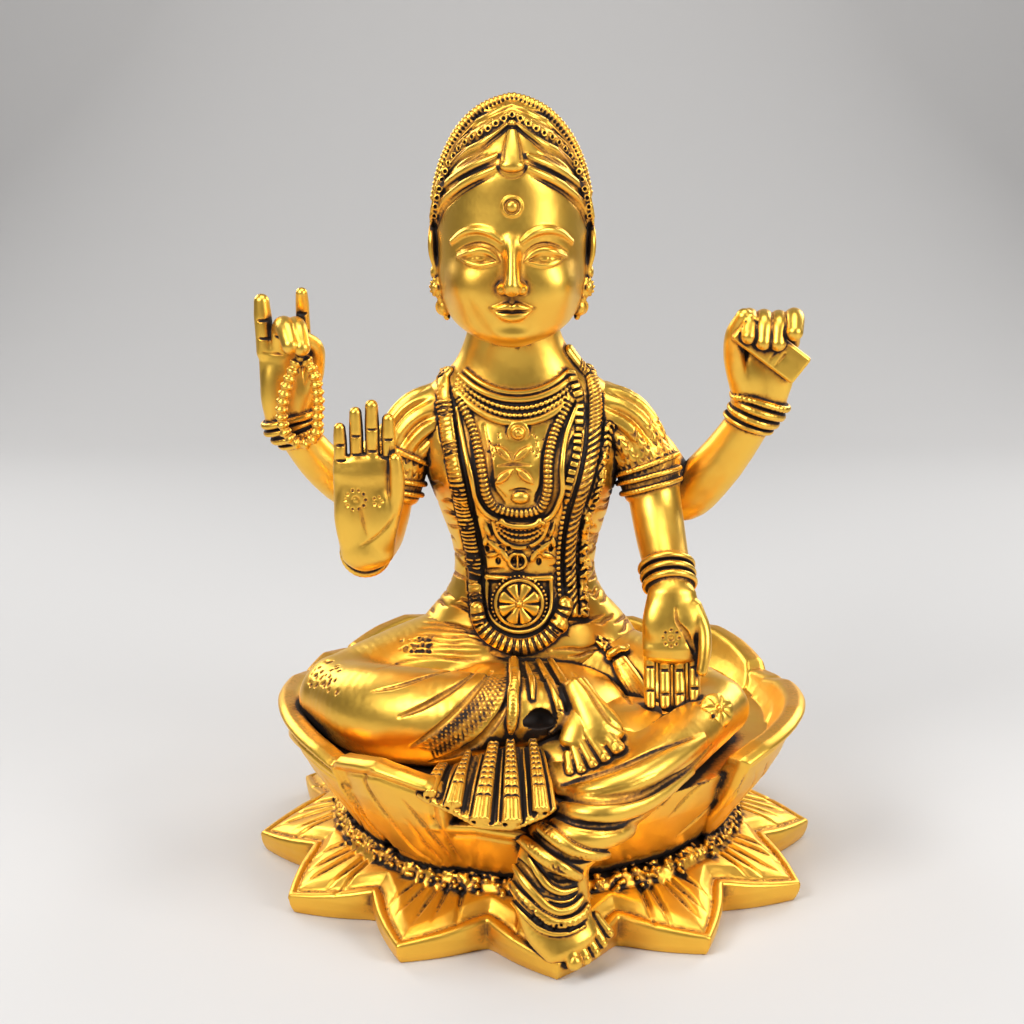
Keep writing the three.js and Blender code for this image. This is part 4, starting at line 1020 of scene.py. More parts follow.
def circle(clay, centre, axis, reach, lift, half):
    """A ring round a limb, laid on its skin."""
    axis = unit(axis)
    a = unit(np.cross(axis, (0.3, 1, 0.2)))
    b = np.cross(axis, a)
    points = [
        np.array(centre) + reach * (math.cos(t) * a + math.sin(t) * b)
        for t in np.linspace(0, 2 * math.pi, 60)
    ]
    rows = widths(points, half)
    for _ in range(2):
        rows = clay.settle(rows)
        rows[:, :3] -= ((rows[:, :3] - centre) @ axis)[:, None] * axis
    return clay.settle(rows, lift)


def limb(clay, path, half, relief=None, blend=0.0, dome=1.0, spacing=2.0):
    """A round limb, with the rows of its middle and width given back."""
    rows = route(widths(path, half), spacing)
    reach = rows[:, 3:].max() + 5
    made = clay.lump(rows[:, :3].min(0) - reach, rows[:, :3].max(0) + reach)
    made.tube(rows, dome=dome, relief=relief, margin=4)
    clay.join(made, blend)
    return rows


def hand(
    clay, wrist, up, palm, thumb_side, palm_length, half, lengths, curls, sizes, thumb=None,
    lean=(0, 0, 0, 0), sink=0.0
):
    """A palm and its fingers, whose lengths, curls in degrees and half widths start beside the thumb. The
    thumb's path is in shares of the palm's length and half width, and millimetres out of it."""
    u = unit(up)
    f = unit(np.array(palm) - np.dot(palm, u) * u)
    s = np.cross(u, f) * thumb_side
    at = lambda a, b, c: np.array(wrist) + a * u + b * s + c * f
    reach = palm_length + 1.2 * max(lengths)
    low, high = at(0.4 * reach, 0, 0) - reach, at(0.4 * reach, 0, 0) + reach
    made = clay.lump(low, high)
    heel = [at(-2, 0, 0), at(palm_length * 0.3, 0, 0), at(palm_length * 0.75, 0, 0), at(palm_length, 0, 0)]
    made.tube(route(widths(heel, [half * 0.84, half, half * 1.02, half], [4.0, 3.9, 3.2, 2.5]), 1), face=f)
    turn = np.array([s, u, f])
    pads = clay.lump(low, high)
    pads.ball(at(palm_length * 0.34, half * 0.5, 1.9), (half * 0.5, palm_length * 0.36, 2.5), turn)
    pads.ball(at(palm_length * 0.36, -half * 0.5, 1.7), (half * 0.46, palm_length * 0.38, 2.1), turn)
    pads.ball(at(palm_length * 0.88, 0, 0.8), (half * 0.92, palm_length * 0.13, 1.9), turn)
    made.join(pads, 1.6)
    clay.join(made, 1.2)
    digits = clay.lump(low, high)
    lines = clay.lump(low, high)
    for k, (length, curl, size) in enumerate(zip(lengths, curls, sizes)):
        across = half * (0.76 - 0.507 * k)
        a, b, c = palm_length - 2.2, across, -sink
        joints = [at(a, b, c)]
        a += 2
        for j in range(3):
            bend = math.radians(curl) * (j + 0.6)
            a += length / 3 * math.cos(bend)
            c += length / 3 * math.sin(bend)
            b += lean[k]
            joints.append(at(a, b, c))
        rows = route(widths(joints, [size * 1.02, size, size, size * 0.86]), 0.8)
        digits.tube(rows, dome=1.0)
        for share in (0.34, 0.67):
            i = int(share * (len(rows) - 1))
            way = unit(rows[i + 1, :3] - rows[i - 1, :3])
            inward = np.cross(way, s) * np.sign(np.dot(np.cross(u, s), f))
            mid = rows[i, :3] + inward * (size * 0.95)
            low_end, high_end = mid - s * size * 0.8 - inward * 0.4, mid + s * size * 0.8 - inward * 0.4
            lines.tube([(*low_end, 0.3), (*mid, 0.34), (*high_end, 0.3)], margin=1.2)
    if thumb is not None:
        size = max(sizes) * 1.08
        points = [at(palm_length * a, half * b, c) for a, b, c in thumb]
        digits.tube(route(widths(points, [size * 1.25, size, size * 0.95, size * 0.8]), 0.8))
    clay.join(digits, 0.6)
    clay.cut(lines, 0.15)
    return at, (u, f, s)


def palm_flower(clay, centre, u, s, reach, dots):
    """A wheel of dots punched in a palm."""
    punched = clay.lump(centre - 6, centre + 6)
    skin_at = clay.settle(np.array([centre]))[0]
    for t in np.linspace(0, 2 * math.pi, dots, endpoint=False):
        point = clay.settle(np.array([skin_at + reach * (math.cos(t) * s + math.sin(t) * u)]))[0]
        punched.ball(point, 0.42, margin=1.2)
    ring = [
        skin_at + reach * 0.33 * (math.cos(t) * s + math.sin(t) * u)
        for t in np.linspace(0, 2 * math.pi, 13)
    ]
    punched.tube(clay.settle(widths(ring, 0.24)), margin=1.2)
    clay.cut(punched, 0.12)


def palm_fold(lump, clay, f, points, half):
    """A fold across a palm that faces f."""
    rows = route(widths(points, half), 0.8)
    lump.tube(clay.meet(rows, toward=-f, start=8, lift=0.05))


def corded(clay, centre, axis, reach, half, lift, notch=1.1, size=0.24):
    """A cord round a limb, notched all along."""
    ring = circle(clay, centre, axis, reach, lift, half)
    made = clay.lump(ring[:, :3].min(0) - 4, ring[:, :3].max(0) + 4)
    made.tube(ring, margin=1.5)
    clay.join(made, 0.25)
    if notch:
        cuts = clay.lump(ring[:, :3].min(0) - 4, ring[:, :3].max(0) + 4)
        rows, ahead = stations(ring, notch)
        for row, way in zip(rows, ahead):
            out = unit(row[:3] - centre)
            side = np.cross(way, out)
            bend = [
                row[:3] + half * 1.15 * (math.cos(t) * out + math.sin(t) * side)
                for t in np.linspace(-1.2, 1.2, 5)
            ]
            cuts.tube(widths(bend, size), margin=1.0)
        clay.cut(cuts, 0.12)


def pleated(count, depth, from_t, to_t, twist=0.0):
    """Folds that run along a sleeve and fade at its ends."""

    def relief(t, angle):
        fade = np.clip((t - from_t) * 6, 0, 1) * np.clip((to_t - t) * 6, 0, 1)
        wave = np.cos(count * angle + twist * t)
        return depth * fade * (wave - 0.6 * wave * wave)

    return relief


def armlets(clay, rows, places):
    """Notched cords round a limb, at shares of its length."""
    for share in places:
        i = int(share * (len(rows) - 1))
        i = min(max(i, 1), len(rows) - 2)
        corded(clay, rows[i, :3], rows[i + 1, :3] - rows[i - 1, :3], rows[i, 3] + 0.5, 0.75, 0.45, 1.0)


CHEVRON = [(-0.11, -0.9), (0, 0.7), (0.11, -0.9)]


def lattice(clay, rows, from_share, to_share, seed):
    """Small crossed cuts between two places along a limb."""
    rng = np.random.default_rng(seed)
    cuts = clay.lump(rows[:, :3].min(0) - 11, rows[:, :3].max(0) + 11)
    first, last = int(from_share * (len(rows) - 1)), int(to_share * (len(rows) - 1))
    axis = unit(rows[last, :3] - rows[first, :3])
    a = unit(np.cross(axis, (0.3, 1, 0.2)))
    b = np.cross(axis, a)
    around = 2 * math.pi * rows[first, 3]
    count = int(around / 2.3)
    tall = np.linalg.norm(rows[last, :3] - rows[first, :3])
    for level in range(max(2, int(tall / 2.2))):
        for k in range(count):
            t = 2 * math.pi * (k + 0.5 * (level % 2)) / count + rng.uniform(-0.05, 0.05)
            mid = rows[first, :3] + axis * (level + 0.5) * tall / max(2, int(tall / 2.2))
            reach = rows[first, 3]
            line = [mid + reach * (math.cos(t + d) * a + math.sin(t + d) * b) + axis * h for d, h in CHEVRON]
            cuts.tube(clay.settle(widths(line, [0.2, 0.36, 0.2])), margin=1.0)
    clay.cut(cuts, 0.2)


right_arms = Clay((BODY_X - 76, -46, 84), (BODY_X - 14, 24, 163), 0.3 * ROUGHING)
# Upper arm of the raised hand, behind, and then the front arm in its sleeve.
back = limb(
    right_arms,
    [
        (BODY_X - 22, 8, 125), (BODY_X - 36, 12, 112), (BODY_X - 45, 12, 103), (BODY_X - 53, 7, 109),
        (BODY_X - 61, 1.5, 121)
    ],
    [7.4, 7.2, 6.9, 6.0, 4.9],
)
front = limb(
    right_arms,
    [
        (BODY_X - 33.5, 0, 110), (BODY_X - 35.5, -2, 100), (BODY_X - 37, -10, 94.5),
        (BODY_X - 39, -24, 94), (BODY_X - 39.5, -34, 97)
    ],
    [6, 6.2, 6.0, 5.4, 5.0], blend=1.0,
)
SLEEVE_RIGHT = [
    (BODY_X - 19, 4, 126), (BODY_X - 26.5, 3.4, 121.5), (BODY_X - 31.5, 1.6, 113.5),
    (BODY_X - 34, -0.5, 103)
]
sleeve = limb(
    right_arms, SLEEVE_RIGHT, [8.2, 9.0, 8.0, 6.9], pleated(11, 0.75, 0.05, 0.62, 2.0), blend=0.3,
    dome=0.4, spacing=1.5
)
lattice(right_arms, sleeve, 0.62, 0.84, 31)
armlets(right_arms, sleeve, (0.64, 0.88, 0.98))

# Open palm of the front hand.
at, (u, f, s) = hand(
    right_arms,
    (BODY_X - 38.6, -35, 98.5),
    (0.0, -0.06, 1),
    (0, -1, 0.05),
    1,
    22,
    7.9,
    (11.5, 15, 13.2, 9.2),
    (1, 1, 1, 1),
    (1.75, 1.8, 1.75, 1.7),
    thumb=((0.3, 0.72, 1.0), (0.62, 0.98, 1.8), (0.9, 1.02, 2.2), (1.08, 0.98, 2.4)),
)
palm_flower(right_arms, at(13.6, -2.6, 5), u, s, 2.5, 10)
palm_flower(right_arms, at(13.4, 3.4, 5), u, s, 1.1, 5)
folds = right_arms.lump(at(8, 0, 4) - 14, at(8, 0, 4) + 14)
across_palm = [at(11.5, -1.0, 4), at(8, -0.6, 4), at(4.5, 0.3, 4)]
palm_fold(folds, right_arms, f, across_palm, [0.2, 0.3, 0.15])
across_palm = [at(9.5, 7.4, 4), at(6.5, 5.2, 4), at(3.4, 2.0, 4), at(1.4, -1.4, 4)]
palm_fold(folds, right_arms, f, across_palm, [0.2, 0.35, 0.35, 0.15])
right_arms.cut(folds, 0.4)
corded(right_arms, (BODY_X - 38.9, -31.0, 96.5), (0, -1, 0.25), 6.5, 1.1, 0.5, 1.2, 0.26)
corded(right_arms, (BODY_X - 38.9, -28.6, 95.6), (0, -1, 0.2), 6.5, 0.85, 0.4, 0)

# Raised hand: the first and last fingers stand, and the two between fold over the rosary.
at, (u, f, s) = hand(
    right_arms,
    (BODY_X - 62.2, 0.5, 123.5),
    (0.0, -0.04, 1),
    (0.12, -1, 0),
    1,
    21,
    6.8,
    (14.5, 17, 17, 11.5),
    (8, 52, 50, 0),
    (1.8, 2.6, 2.6, 2.35),
    thumb=((0.3, 0.7, 0.6), (0.7, 1.1, 2.4), (0.98, 1.1, 5.0), (1.12, 0.7, 7.4)),
    lean=(-0.1, 0.9, 1.1, -0.15),
)
line = right_arms.settle(widths([at(19.2, -6.0, 4), at(18.8, -3, 4), at(18.6, -0.5, 4)], [0.2, 0.4, 0.2]))
marks = right_arms.lump(line[:, :3].min(0) - 8, line[:, :3].max(0) + 8)
marks.tube(line)
right_arms.cut(marks, 0.2)
for rise, half, notch in ((-5.0, 0.8, 0), (-2.6, 1.0, 1.1), (0.0, 0.8, 0), (2.2, 0.95, 0)):
    corded(right_arms, (BODY_X - 62.0, 0.9, 122 + rise), (-0.3, -0.1, 1), 6, half, 0.5, notch)

# The rosary, a loop of thick beads hung over the folded fingers.
ROSARY = [
    (-57.0, -9.5, 142.5), (-59.2, -10.2, 138.5), (-61.4, -9.8, 133), (-62.6, -8.8, 127),
    (-61.4, -8.2, 121.4), (-57.6, -8.4, 118.8)
]
ROSARY += [(-54.0, -8.6, 121.4), (-53.0, -9.0, 127), (-52.8, -9.6, 133), (-54.2, -10.2, 139.5)]
loop = route([(BODY_X + x, y, z, 1.2) for x, y, z in ROSARY], 2.2, closed=True)
rosary = right_arms.lump(loop[:, :3].min(0) - 5, loop[:, :3].max(0) + 5)
rosary.tube(loop)
ahead = unit(np.gradient(loop[:, :3], axis=0))
for row, way in zip(loop, ahead):
    a = unit(np.cross(way, (0, 1, 0.1)))
    rosary.ball(row[:3], (1.0, 1.75, 1.75), np.array([way, a, np.cross(way, a)]))
right_arms.join(rosary, 0.3)
right_arms.ripple(4.0, 0.06, 13)
right_arms.ripple(1.5, 0.025, 14)
right_arms_piece = cast(right_arms, "right_arms", 95000)
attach(right_arms_piece, "root")
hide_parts("figure")

# The left arms: the front hand open and hanging in the giving sign, and the back one closed on a
# small palm-leaf book. Cast and chased like the right ones.
left_arms = Clay((BODY_X + 14, -44, 54), (BODY_X + 80, 24, 163), 0.3 * ROUGHING)
limb(
    left_arms,
    [
        (BODY_X + 22, 8, 125), (BODY_X + 36, 12, 111), (BODY_X + 45, 12, 100), (BODY_X + 54, 8, 109),
        (BODY_X + 64, 2, 126)
    ],
    [7.8, 7.4, 7.4, 6.8, 5.6],
)
limb(
    left_arms,
    [(BODY_X + 35.6, 0, 112), (BODY_X + 36.6, -2, 102), (BODY_X + 38, -9, 93), (BODY_X + 39.7, -20, 83)],
    [7, 7, 6.6, 5.8],
    blend=1.0,
)
SLEEVE_LEFT = [
    (BODY_X + 19, 4, 126), (BODY_X + 27.5, 3.2, 121.5), (BODY_X + 33, 1.4, 113), (BODY_X + 35.8, -0.5, 104)
]
sleeve = limb(
    left_arms, SLEEVE_LEFT, [8.2, 9.2, 8.4, 7.4], pleated(11, 0.75, 0.05, 0.66, -2.0), blend=0.3, dome=0.4,
    spacing=1.5
)
lattice(left_arms, sleeve, 0.4, 0.84, 32)
armlets(left_arms, sleeve, (0.78, 0.86, 0.96))

at, (u, f, s) = hand(
    left_arms,
    (BODY_X + 39.8, -24, 80),
    (0.0, -0.30, -0.95),
    (0, -0.95, 0.30),
    -1,
    13.6,
    7.6,
    (15.5, 17, 17, 16),
    (4, 4, 4, 4),
    (1.6, 1.68, 1.68, 1.6),
    thumb=((0.1, 0.75, 1.2), (0.5, 1.05, 2.6), (0.9, 1.08, 3.4), (1.3, 0.98, 3.6)),
    sink=0.9,
)
palm_flower(left_arms, at(9.4, -0.6, 5), u, s, 2.1, 8)
folds = left_arms.lump(at(8, 0, 4) - 14, at(8, 0, 4) + 14)
across_palm = [at(1.5, 0.6, 4), at(5, 1.0, 4), at(8, 3.2, 4), at(13, 5.6, 4)]
palm_fold(folds, left_arms, f, across_palm, [0.25, 0.45, 0.8, 0.6])
left_arms.cut(folds, 0.4)
for k in range(3):
    corded(
        left_arms, (BODY_X + 39.4 - 0.2 * k, -19.4 + 1.9 * k, 83.6 + 1.9 * k), (0.05, -0.7, -0.7), 6.5,
        1.0, 0.55, 0
    )

at, (u, f, s) = hand(
    left_arms,
    (BODY_X + 65, 1, 129.5),
    (0.05, -0.08, 1),
    (-0.08, -1, 0.1),
    -1,
    18,
    7.6,
    (15, 16, 16, 15),
    (52, 56, 56, 46),
    (2.3, 2.4, 2.4, 2.6),
    thumb=((0.2, 0.75, 1.0), (0.6, 1.12, 3.2), (1.0, 1.18, 5.8), (1.3, 0.95, 7.6)),
)
LEAVES = np.array([(0.8, 0, -0.6), (0.6, 0, 0.8), (0, -1, 0)])
book_at = np.array([BODY_X + 65.5, -7.6, 144.5])
book = left_arms.lump(book_at - 16, book_at + 16)
book.slab(book_at, (10.2, 4.2, 2.6), LEAVES, 0.9)
left_arms.join(book, 0.3)
pages = left_arms.lump(book_at - 17, book_at + 17)
for k in range(5):
    a = book_at + LEAVES[1] * (3.2 - 1.6 * k) + LEAVES[2] * 2.7
    pages.tube([(*(a - LEAVES[0] * 10.4), 0.2), (*(a - LEAVES[0] * 5.2), 0.26)], margin=1.2)
for k in range(2):
    a = book_at + LEAVES[0] * (1.2 + 2.2 * k) + LEAVES[2] * 2.75 - LEAVES[1] * 0.6
    pages.tube([(*(a - LEAVES[1] * 2.4), 0.3), (*(a + LEAVES[1] * 1.6), 0.45)], margin=1.2)
left_arms.cut(pages, 0.15)
for rise, half, notch in ((-7.6, 0.75, 0), (-5.2, 1.15, 1.15), (-2.6, 1.2, 1.15), (-0.2, 1.05, 1.15)):
    corded(
        left_arms, (BODY_X + 64.2 + 0.14 * rise, 1.6 - 0.1 * rise, 129.4 + rise), (0.32, -0.1, 1), 6, half,
        0.6, notch, 0.22
    )
left_arms.ripple(4.0, 0.06, 15)
left_arms.ripple(1.5, 0.025, 16)
left_arms_piece = cast(left_arms, "left_arms", 95000)
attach(left_arms_piece, "root")
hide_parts("figure")

# The folded right leg and the lap: the thigh and shin in tight cloth, the crossed foot, loose
# strands, and the skirt's pleated end fanned over the cup. Folds were cut in the wax with a gouge.
EYE_POINT = np.array([-7.0, -470.0, 224.0])
SHEET = 1024
FOCUS = 1790


def drawn(clay, points, *sizes, spacing=0.8, lift=0.0):
    """Rows on the skin below a drawing of it as seen from the camera, on a sheet 1024 wide."""
    rows = route(widths([(x, y, 0) for x, y in points], *sizes), 3.4 * spacing)
    right, up = (rows[:, 0] - SHEET / 2) / FOCUS, (SHEET / 2 - rows[:, 1]) / FOCUS
    tilt = math.radians(75)
    rays = np.column_stack(
        [right, math.sin(tilt) + up * math.cos(tilt), up * math.sin(tilt) - math.cos(tilt)]
    )
    far = (clay.low[1] - EYE_POINT[1]) / rays[:, 1]
    rows[:, :3] = EYE_POINT + rays * far[:, None]
    rows = clay.meet(rows, toward=rays, start=0)
    off = rows[:, :3] - EYE_POINT
    strayed = np.linalg.norm(off - np.sum(off * unit(rays), axis=1)[:, None] * unit(rays), axis=1)
    rows = rows[(strayed < 0.8) & (np.abs(clay.sample(rows[:, :3])) < 0.6)]
    return clay.settle(rows, lift) if lift else rows


right_leg = Clay((-73, -76, 37), (32, 32, 77), 0.33 * ROUGHING)
right_leg.tube(
    route(widths([(-14, 3, 58), (-34, -3, 54), (-53, -11, 50.5)], [17, 15, 11], [14.5, 12.5, 10]), 2),
    face=(0, 0, 1), margin=5
)
lap = right_leg.whole()
lap.ball((-3, -20, 51), (27, 24, 10), margin=5)
lap.ball((20, -32, 46), (20, 18, 9), margin=5)
right_leg.join(lap, 4)
shin = right_leg.whole()
SHIN = [(-54, -15, 50), (-43, -27, 51), (-26, -36, 52.5), (-8, -39, 55), (3, -39, 56)]
shin.tube(route(widths(SHIN, [10.5, 12.5, 12.5, 9.5, 6.5]), 2), margin=5)
right_leg.join(shin, 3)


def chased(clay, lines, blend=0.35, lift=0.1):
    """Gouged lines, each a drawn path with its half widths."""
    lump = clay.whole()
    for points, sizes in lines:
        lump.tube(drawn(clay, points, sizes, lift=lift), margin=1.5)
    clay.cut(lump, blend)


def toes_on(clay, low, high, toes, blend, upward, rise, back, hook):
    """Toes as short rods from root to tip, each with the edge of its nail cut in. Rise, back and hook
    are shares of its half width: how high the nail lies, and how far back its corners and bow go."""
    rods = clay.lump(low, high)
    for start, tip, size in toes:
        rods.tube([(*start, size * 0.9), (*tip, size)], margin=1.5)
    clay.join(rods, blend)
    nails = clay.lump(low, high)
    for start, tip, size in toes:
        way = unit(np.array(tip) - start)
        across = unit(np.cross(way, upward))
        up = np.cross(across, way)
        curl = []
        for a in np.linspace(0, math.pi, 6):
            bow = (back + hook * math.sin(a)) * way
            curl.append(np.array(tip) + size * (rise * up + 0.6 * math.cos(a) * across - bow))
        nails.tube(clay.settle(widths(curl, 0.2)), margin=1.2)
    clay.cut(nails, 0.15)


def strands_on(clay, lines, blend=0.3, lift=0.3, flat=0.8):
    """Strands laid along drawn paths with their half widths; their rows are given back."""
    lump = clay.whole()
    kept = []
    for points, sizes in lines:
        rows = drawn(clay, points, sizes, lift=lift)
        rows = np.column_stack([rows, rows[:, 3] * flat])
        lump.tube(rows, face=clay.normal(rows[:, :3], 1.5), margin=1.5)
        kept.append(rows)
    clay.join(lump, blend)
    return kept


THIGH_GROOVES = [
    ([(375, 670), (405, 662), (432, 659), (478, 663)], [0.15, 0.3, 0.25, 0.1]),
    ([(372, 692), (402, 685), (432, 674.8), (474, 666)], [0.3, 0.75, 0.6, 0.2]),
    ([(398.7, 717), (418, 709), (440, 697), (459, 684.4), (480, 667)], [0.3, 0.8, 0.9, 0.7, 0.3]),
    (
        [(411, 747), (441.7, 725.5), (462.8, 705.4), (476.2, 690), (491.5, 671)],
        [0.4, 0.9, 0.9, 0.8, 0.5]
    ),
]
chased(right_leg, THIGH_GROOVES)
# Crossed hatching on the hem that shows beside the last groove.
hem = [(499, 678), (486, 701), (461, 728), (432, 750)]
rows, ahead, out, across = over(drawn(right_leg, hem, [2.2, 3.0, 3.2, 2.6]), 1.5, right_leg)
hatch = right_leg.lump((-40, -66, 37), (6, -20, 70))
for row, way, n, side in zip(rows, ahead, out, across):
    for slant in (0.75, -0.75):
        a, b = row[:3] - (side + way * slant) * row[3], row[:3] + (side + way * slant) * row[3]
        hatch.tube(right_leg.settle([(*a, 0.26), (*row[:3], 0.28), (*b, 0.26)]), margin=1.2)
right_leg.cut(hatch, 0.15)
edge = [(512, 690), (500, 716), (478, 742), (452, 756), (430, 762)]
chased(right_leg, [(edge, [0.5, 1.0, 1.2, 1.0, 0.5])])

# Cloth wrinkled over the hip, and pricked where it meets the smooth thigh.
rng = np.random.default_rng(41)
lines = []
for k in range(9):
    y = 612 + 5.4 * k
    left, right = 428 - 2.6 * k, 478 + 0.3 * k
    points = [(x, y + (x - left) * 0.07 + rng.uniform(-1.2, 1.2)) for x in np.linspace(left, right, 6)]
    lines.append((points, [0.15, 0.42, 0.3, 0.42, 0.3, 0.15]))
chased(right_leg, lines, 0.4)
pricks = right_leg.whole()
for _ in range(46):
    x, y = rng.uniform(398, 436), rng.uniform(636, 652)
    for row in drawn(right_leg, [(x, y), (x + 0.5, y)], 1)[:1]:
        pricks.ball(row[:3], rng.uniform(0.3, 0.5), margin=1.2)
for _ in range(40):
    x, y = rng.uniform(308, 340), rng.uniform(660, 694)
    for row in drawn(right_leg, [(x, y), (x + 0.5, y)], 1)[:1]:
        pricks.ball(row[:3], rng.uniform(0.3, 0.6), margin=1.2)
right_leg.cut(pricks, 0.4)

# The hollow under the gathers with the spot of painted shadow in it, the strands over it, and the crossed
# foot with its toes.
HOLLOW = [([(528, 722), (540, 719), (551, 722)], [1.8, 2.8, 1.8])]
chased(right_leg, HOLLOW, 0.5, -1.6)
# Where the painted shadow under the gathers is centred.
SHADOW_SPOT = [(540, 720), (540.5, 720)]
shadow_spot = drawn(right_leg, SHADOW_SPOT, 1)[0, :3]
SASH = [([(514, 664), (514, 690), (511, 724), (510, 732)], [1.4, 1.5, 1.3, 0.6])]
sash = strands_on(right_leg, SASH, lift=1.2)
RIBBONS = [
    (
        [(538, 664), (550, 686), (558, 706), (559.5, 717), (556, 726), (548, 731)],
        [0.8, 1.0, 1.1, 1.1, 1.0, 0.7]
    ),
    (
        [(550, 664), (563, 686), (571, 705), (572, 718), (568, 732), (558, 743)],
        [1.0, 1.3, 1.4, 1.35, 1.2, 0.8]
    ),
    ([(526, 666), (531, 684), (532, 700)], [0.6, 0.9, 0.5]),
]
ribbons = strands_on(right_leg, RIBBONS, lift=1.0)
RIBBON_EDGES = [
    (
        [(541, 668), (556, 689), (564.5, 706), (566, 719), (562, 732), (553, 741)],
        [0.3, 0.45, 0.5, 0.5, 0.5, 0.3]
    ),
    (
        [(559, 668), (573, 688), (579, 706), (580, 722), (575, 738), (566, 750)],
        [0.3, 0.5, 0.6, 0.8, 1.0, 0.6]
    ),
]
chased(right_leg, RIBBON_EDGES, 0.3)
foot = right_leg.lump((-4, -62, 36), (34, -30, 72))
INSTEP = [(9.6, -40.5, 63.3), (12.0, -44, 59.1), (15.2, -47.3, 55.0), (17.2, -49.3, 52.3)]
foot.tube(route(widths(INSTEP, [3.0, 4.2, 5.3, 5.0], [2.2, 3.0, 3.0, 2.2]), 1), face=(0.1, -0.75, 0.65))
OUTSIDE = [(10.3, -43.5, 58.9), (9.5, -47.5, 54.9), (8.2, -50, 51.5)]
foot.tube(route(widths(OUTSIDE, [2.4, 3.4, 3.6], [1.6, 2.2, 2.0]), 1), face=(-0.1, -0.75, 0.65))
right_leg.join(foot, 2.0)
TOES = [((13.5, -47, 56.0), (19.4, -51.6, 50.4), 2.1), ((11.9, -49, 53.8), (16.4, -52.8, 48.2), 1.8)]
TOES += [((10.1, -50.5, 51.9), (13.3, -54, 46.9), 1.6), ((8.6, -51.5, 50.3), (10.3, -55.3, 46.1), 1.4)]
TOES += [((6.9, -52, 49.2), (7.5, -55.5, 45.8), 1.2)]
toes_on(right_leg, (-4, -62, 36), (34, -34, 68), TOES, 0.2, (0, -0.7, 0.7), 0.9, 0.1, 0.6)
notches = right_leg.lump((-20, -66, 37), (26, -14, 76))
for rows in [sash[0]] + [rows[int(0.62 * len(rows)) :] for rows in ribbons[:2]]:
    bars(notches, right_leg, right_leg.settle(rows), 1.1, 0.95, 0.22)
right_leg.cut(notches, 0.12)
# The groove that the toes hang over, and the long ones beside the foot.
FOOT_GROOVES = [
    ([(560, 784), (578, 781), (600, 774), (620, 765), (634, 758)], [0.5, 0.9, 1.0, 0.9, 0.4]),
    ([(578, 640), (594, 656), (608, 674), (622, 692), (631, 704)], [0.4, 0.7, 0.8, 0.7, 0.4]),
    (
        [(573, 673), (590, 692), (600, 708), (610, 722), (622, 729), (631, 731)],
        [0.3, 0.5, 0.6, 0.5, 0.4, 0.2]
    ),
]
chased(right_leg, FOOT_GROOVES, 0.5)

# The fan: five box pleats over the cup's rim, hatched across above and smooth below, with a slot in
# the end of each. Back and front are the ends of the sheet's edges and of the pleats between them.
BACK = np.array(
    [
        (-25.8, -52, 45.8), (-24.3, -52, 47.1), (-18.1, -51, 49.8), (-11.7, -50, 51.6),
        (-7.4, -49.5, 52.4), (-1.7, -49, 52), (0.3, -49, 51.4)
    ]
)
FRONT = np.array(
    [
        (-29.5, -64, 46.3), (-26.9, -67, 46), (-21.2, -71, 45), (-14.6, -74.5, 42.7), (-7, -74.5, 42.2),
        (0, -71.5, 43.9), (2.7, -69, 44.8)
    ]
)


def fan_at(place, v, drop=0.0):
    """A point of the fan, place 0 to 6 across it and v from its back to its front."""
    ends = [
        np.array([np.interp(place, np.arange(7), side[:, k]) for k in range(3)]) for side in (BACK, FRONT)
    ]
    return ends[0] * (1 - v) + ends[1] * v + (0, 0, 1.2 * math.sin(math.pi * v) - drop)


fan = right_leg.lump((-36, -80, 34), (10, -40, 60))
for place in np.linspace(0.2, 5.9, 30):
    points = [fan_at(place, v, 3.1) for v in (0, 0.35, 0.7, 0.985)]
    fan.tube(route(widths(points, [1.0, 1.2, 1.4, 1.5], 1.0), 2), face=(0, -0.3, 1), dome=0.5, margin=2.5)
right_leg.join(fan, 0.4)
rolls = right_leg.lump((-36, -80, 36), (12, -40, 60))
HALVES = [(1.5, 1.6), (0.8, 2.1), (1.4, 2.3), (1.1, 2.4), (1.1, 2.0)]
for k, (back_half, front_half) in enumerate(HALVES):
    for side in (-1, 1):
        points = []
        for v in (-0.04, 0.35, 0.7, 0.9, 1.0):
            half = back_half + (front_half - back_half) * v
            points.append(fan_at(k + 1, v, 1.5) + (side * 0.42 * half, 0, 0))
        size = [0.66 * (back_half + (front_half - back_half) * v) for v in (0, 0.35, 0.7, 0.9, 1.08)]
        rolls.tube(route(widths(points, size, 1.55), 1), face=(0, -0.3, 1), dome=0.2, margin=2.5)
for k in range(1, 5):
    points = [fan_at(k + 0.56, v, 2.0) for v in (0.05, 0.5, 0.98)]
    rolls.tube(route(widths(points, [0.3, 0.4, 0.4], [0.6, 0.8, 0.6]), 1), dome=0.4, margin=1.5)
right_leg.join(rolls, 0.15)
cuts = right_leg.lump((-36, -82, 36), (12, -40, 62))
for k, (back_half, front_half) in enumerate(HALVES):
    start, end = fan_at(k + 1, 0), fan_at(k + 1, 1)
    length = float(np.linalg.norm(end - start))
    for back_off in [6.4, 9.2] + list(np.arange(11.8, length + 1, 2.0)):
        v = 1 - back_off / length
        half = (back_half + (front_half - back_half) * v) * 1.05
        mid = fan_at(k + 1, v, -0.05)
        a, b = mid - (half, 0, 0.5), mid + (half, 0, -0.5)
        cuts.tube([(*a, 0.28), (*mid, 0.33), (*b, 0.28)], margin=1.2)
    slot = fan_at(k + 1, 1.03, 0.2)
    cuts.tube([(*slot, 0.45), (*(slot - (0, 0, 2.4)), 0.4)], margin=1.5)
for k in range(0, 6):
    for shift in (0.34, 0.78):
        points = [fan_at(k + shift, v, 1.9) for v in (0.02, 0.4, 0.75, 1.03)]
        cuts.tube(route(widths(points, [0.45, 0.6, 0.6, 0.5]), 1), margin=1.5)
right_leg.cut(cuts, 0.2)
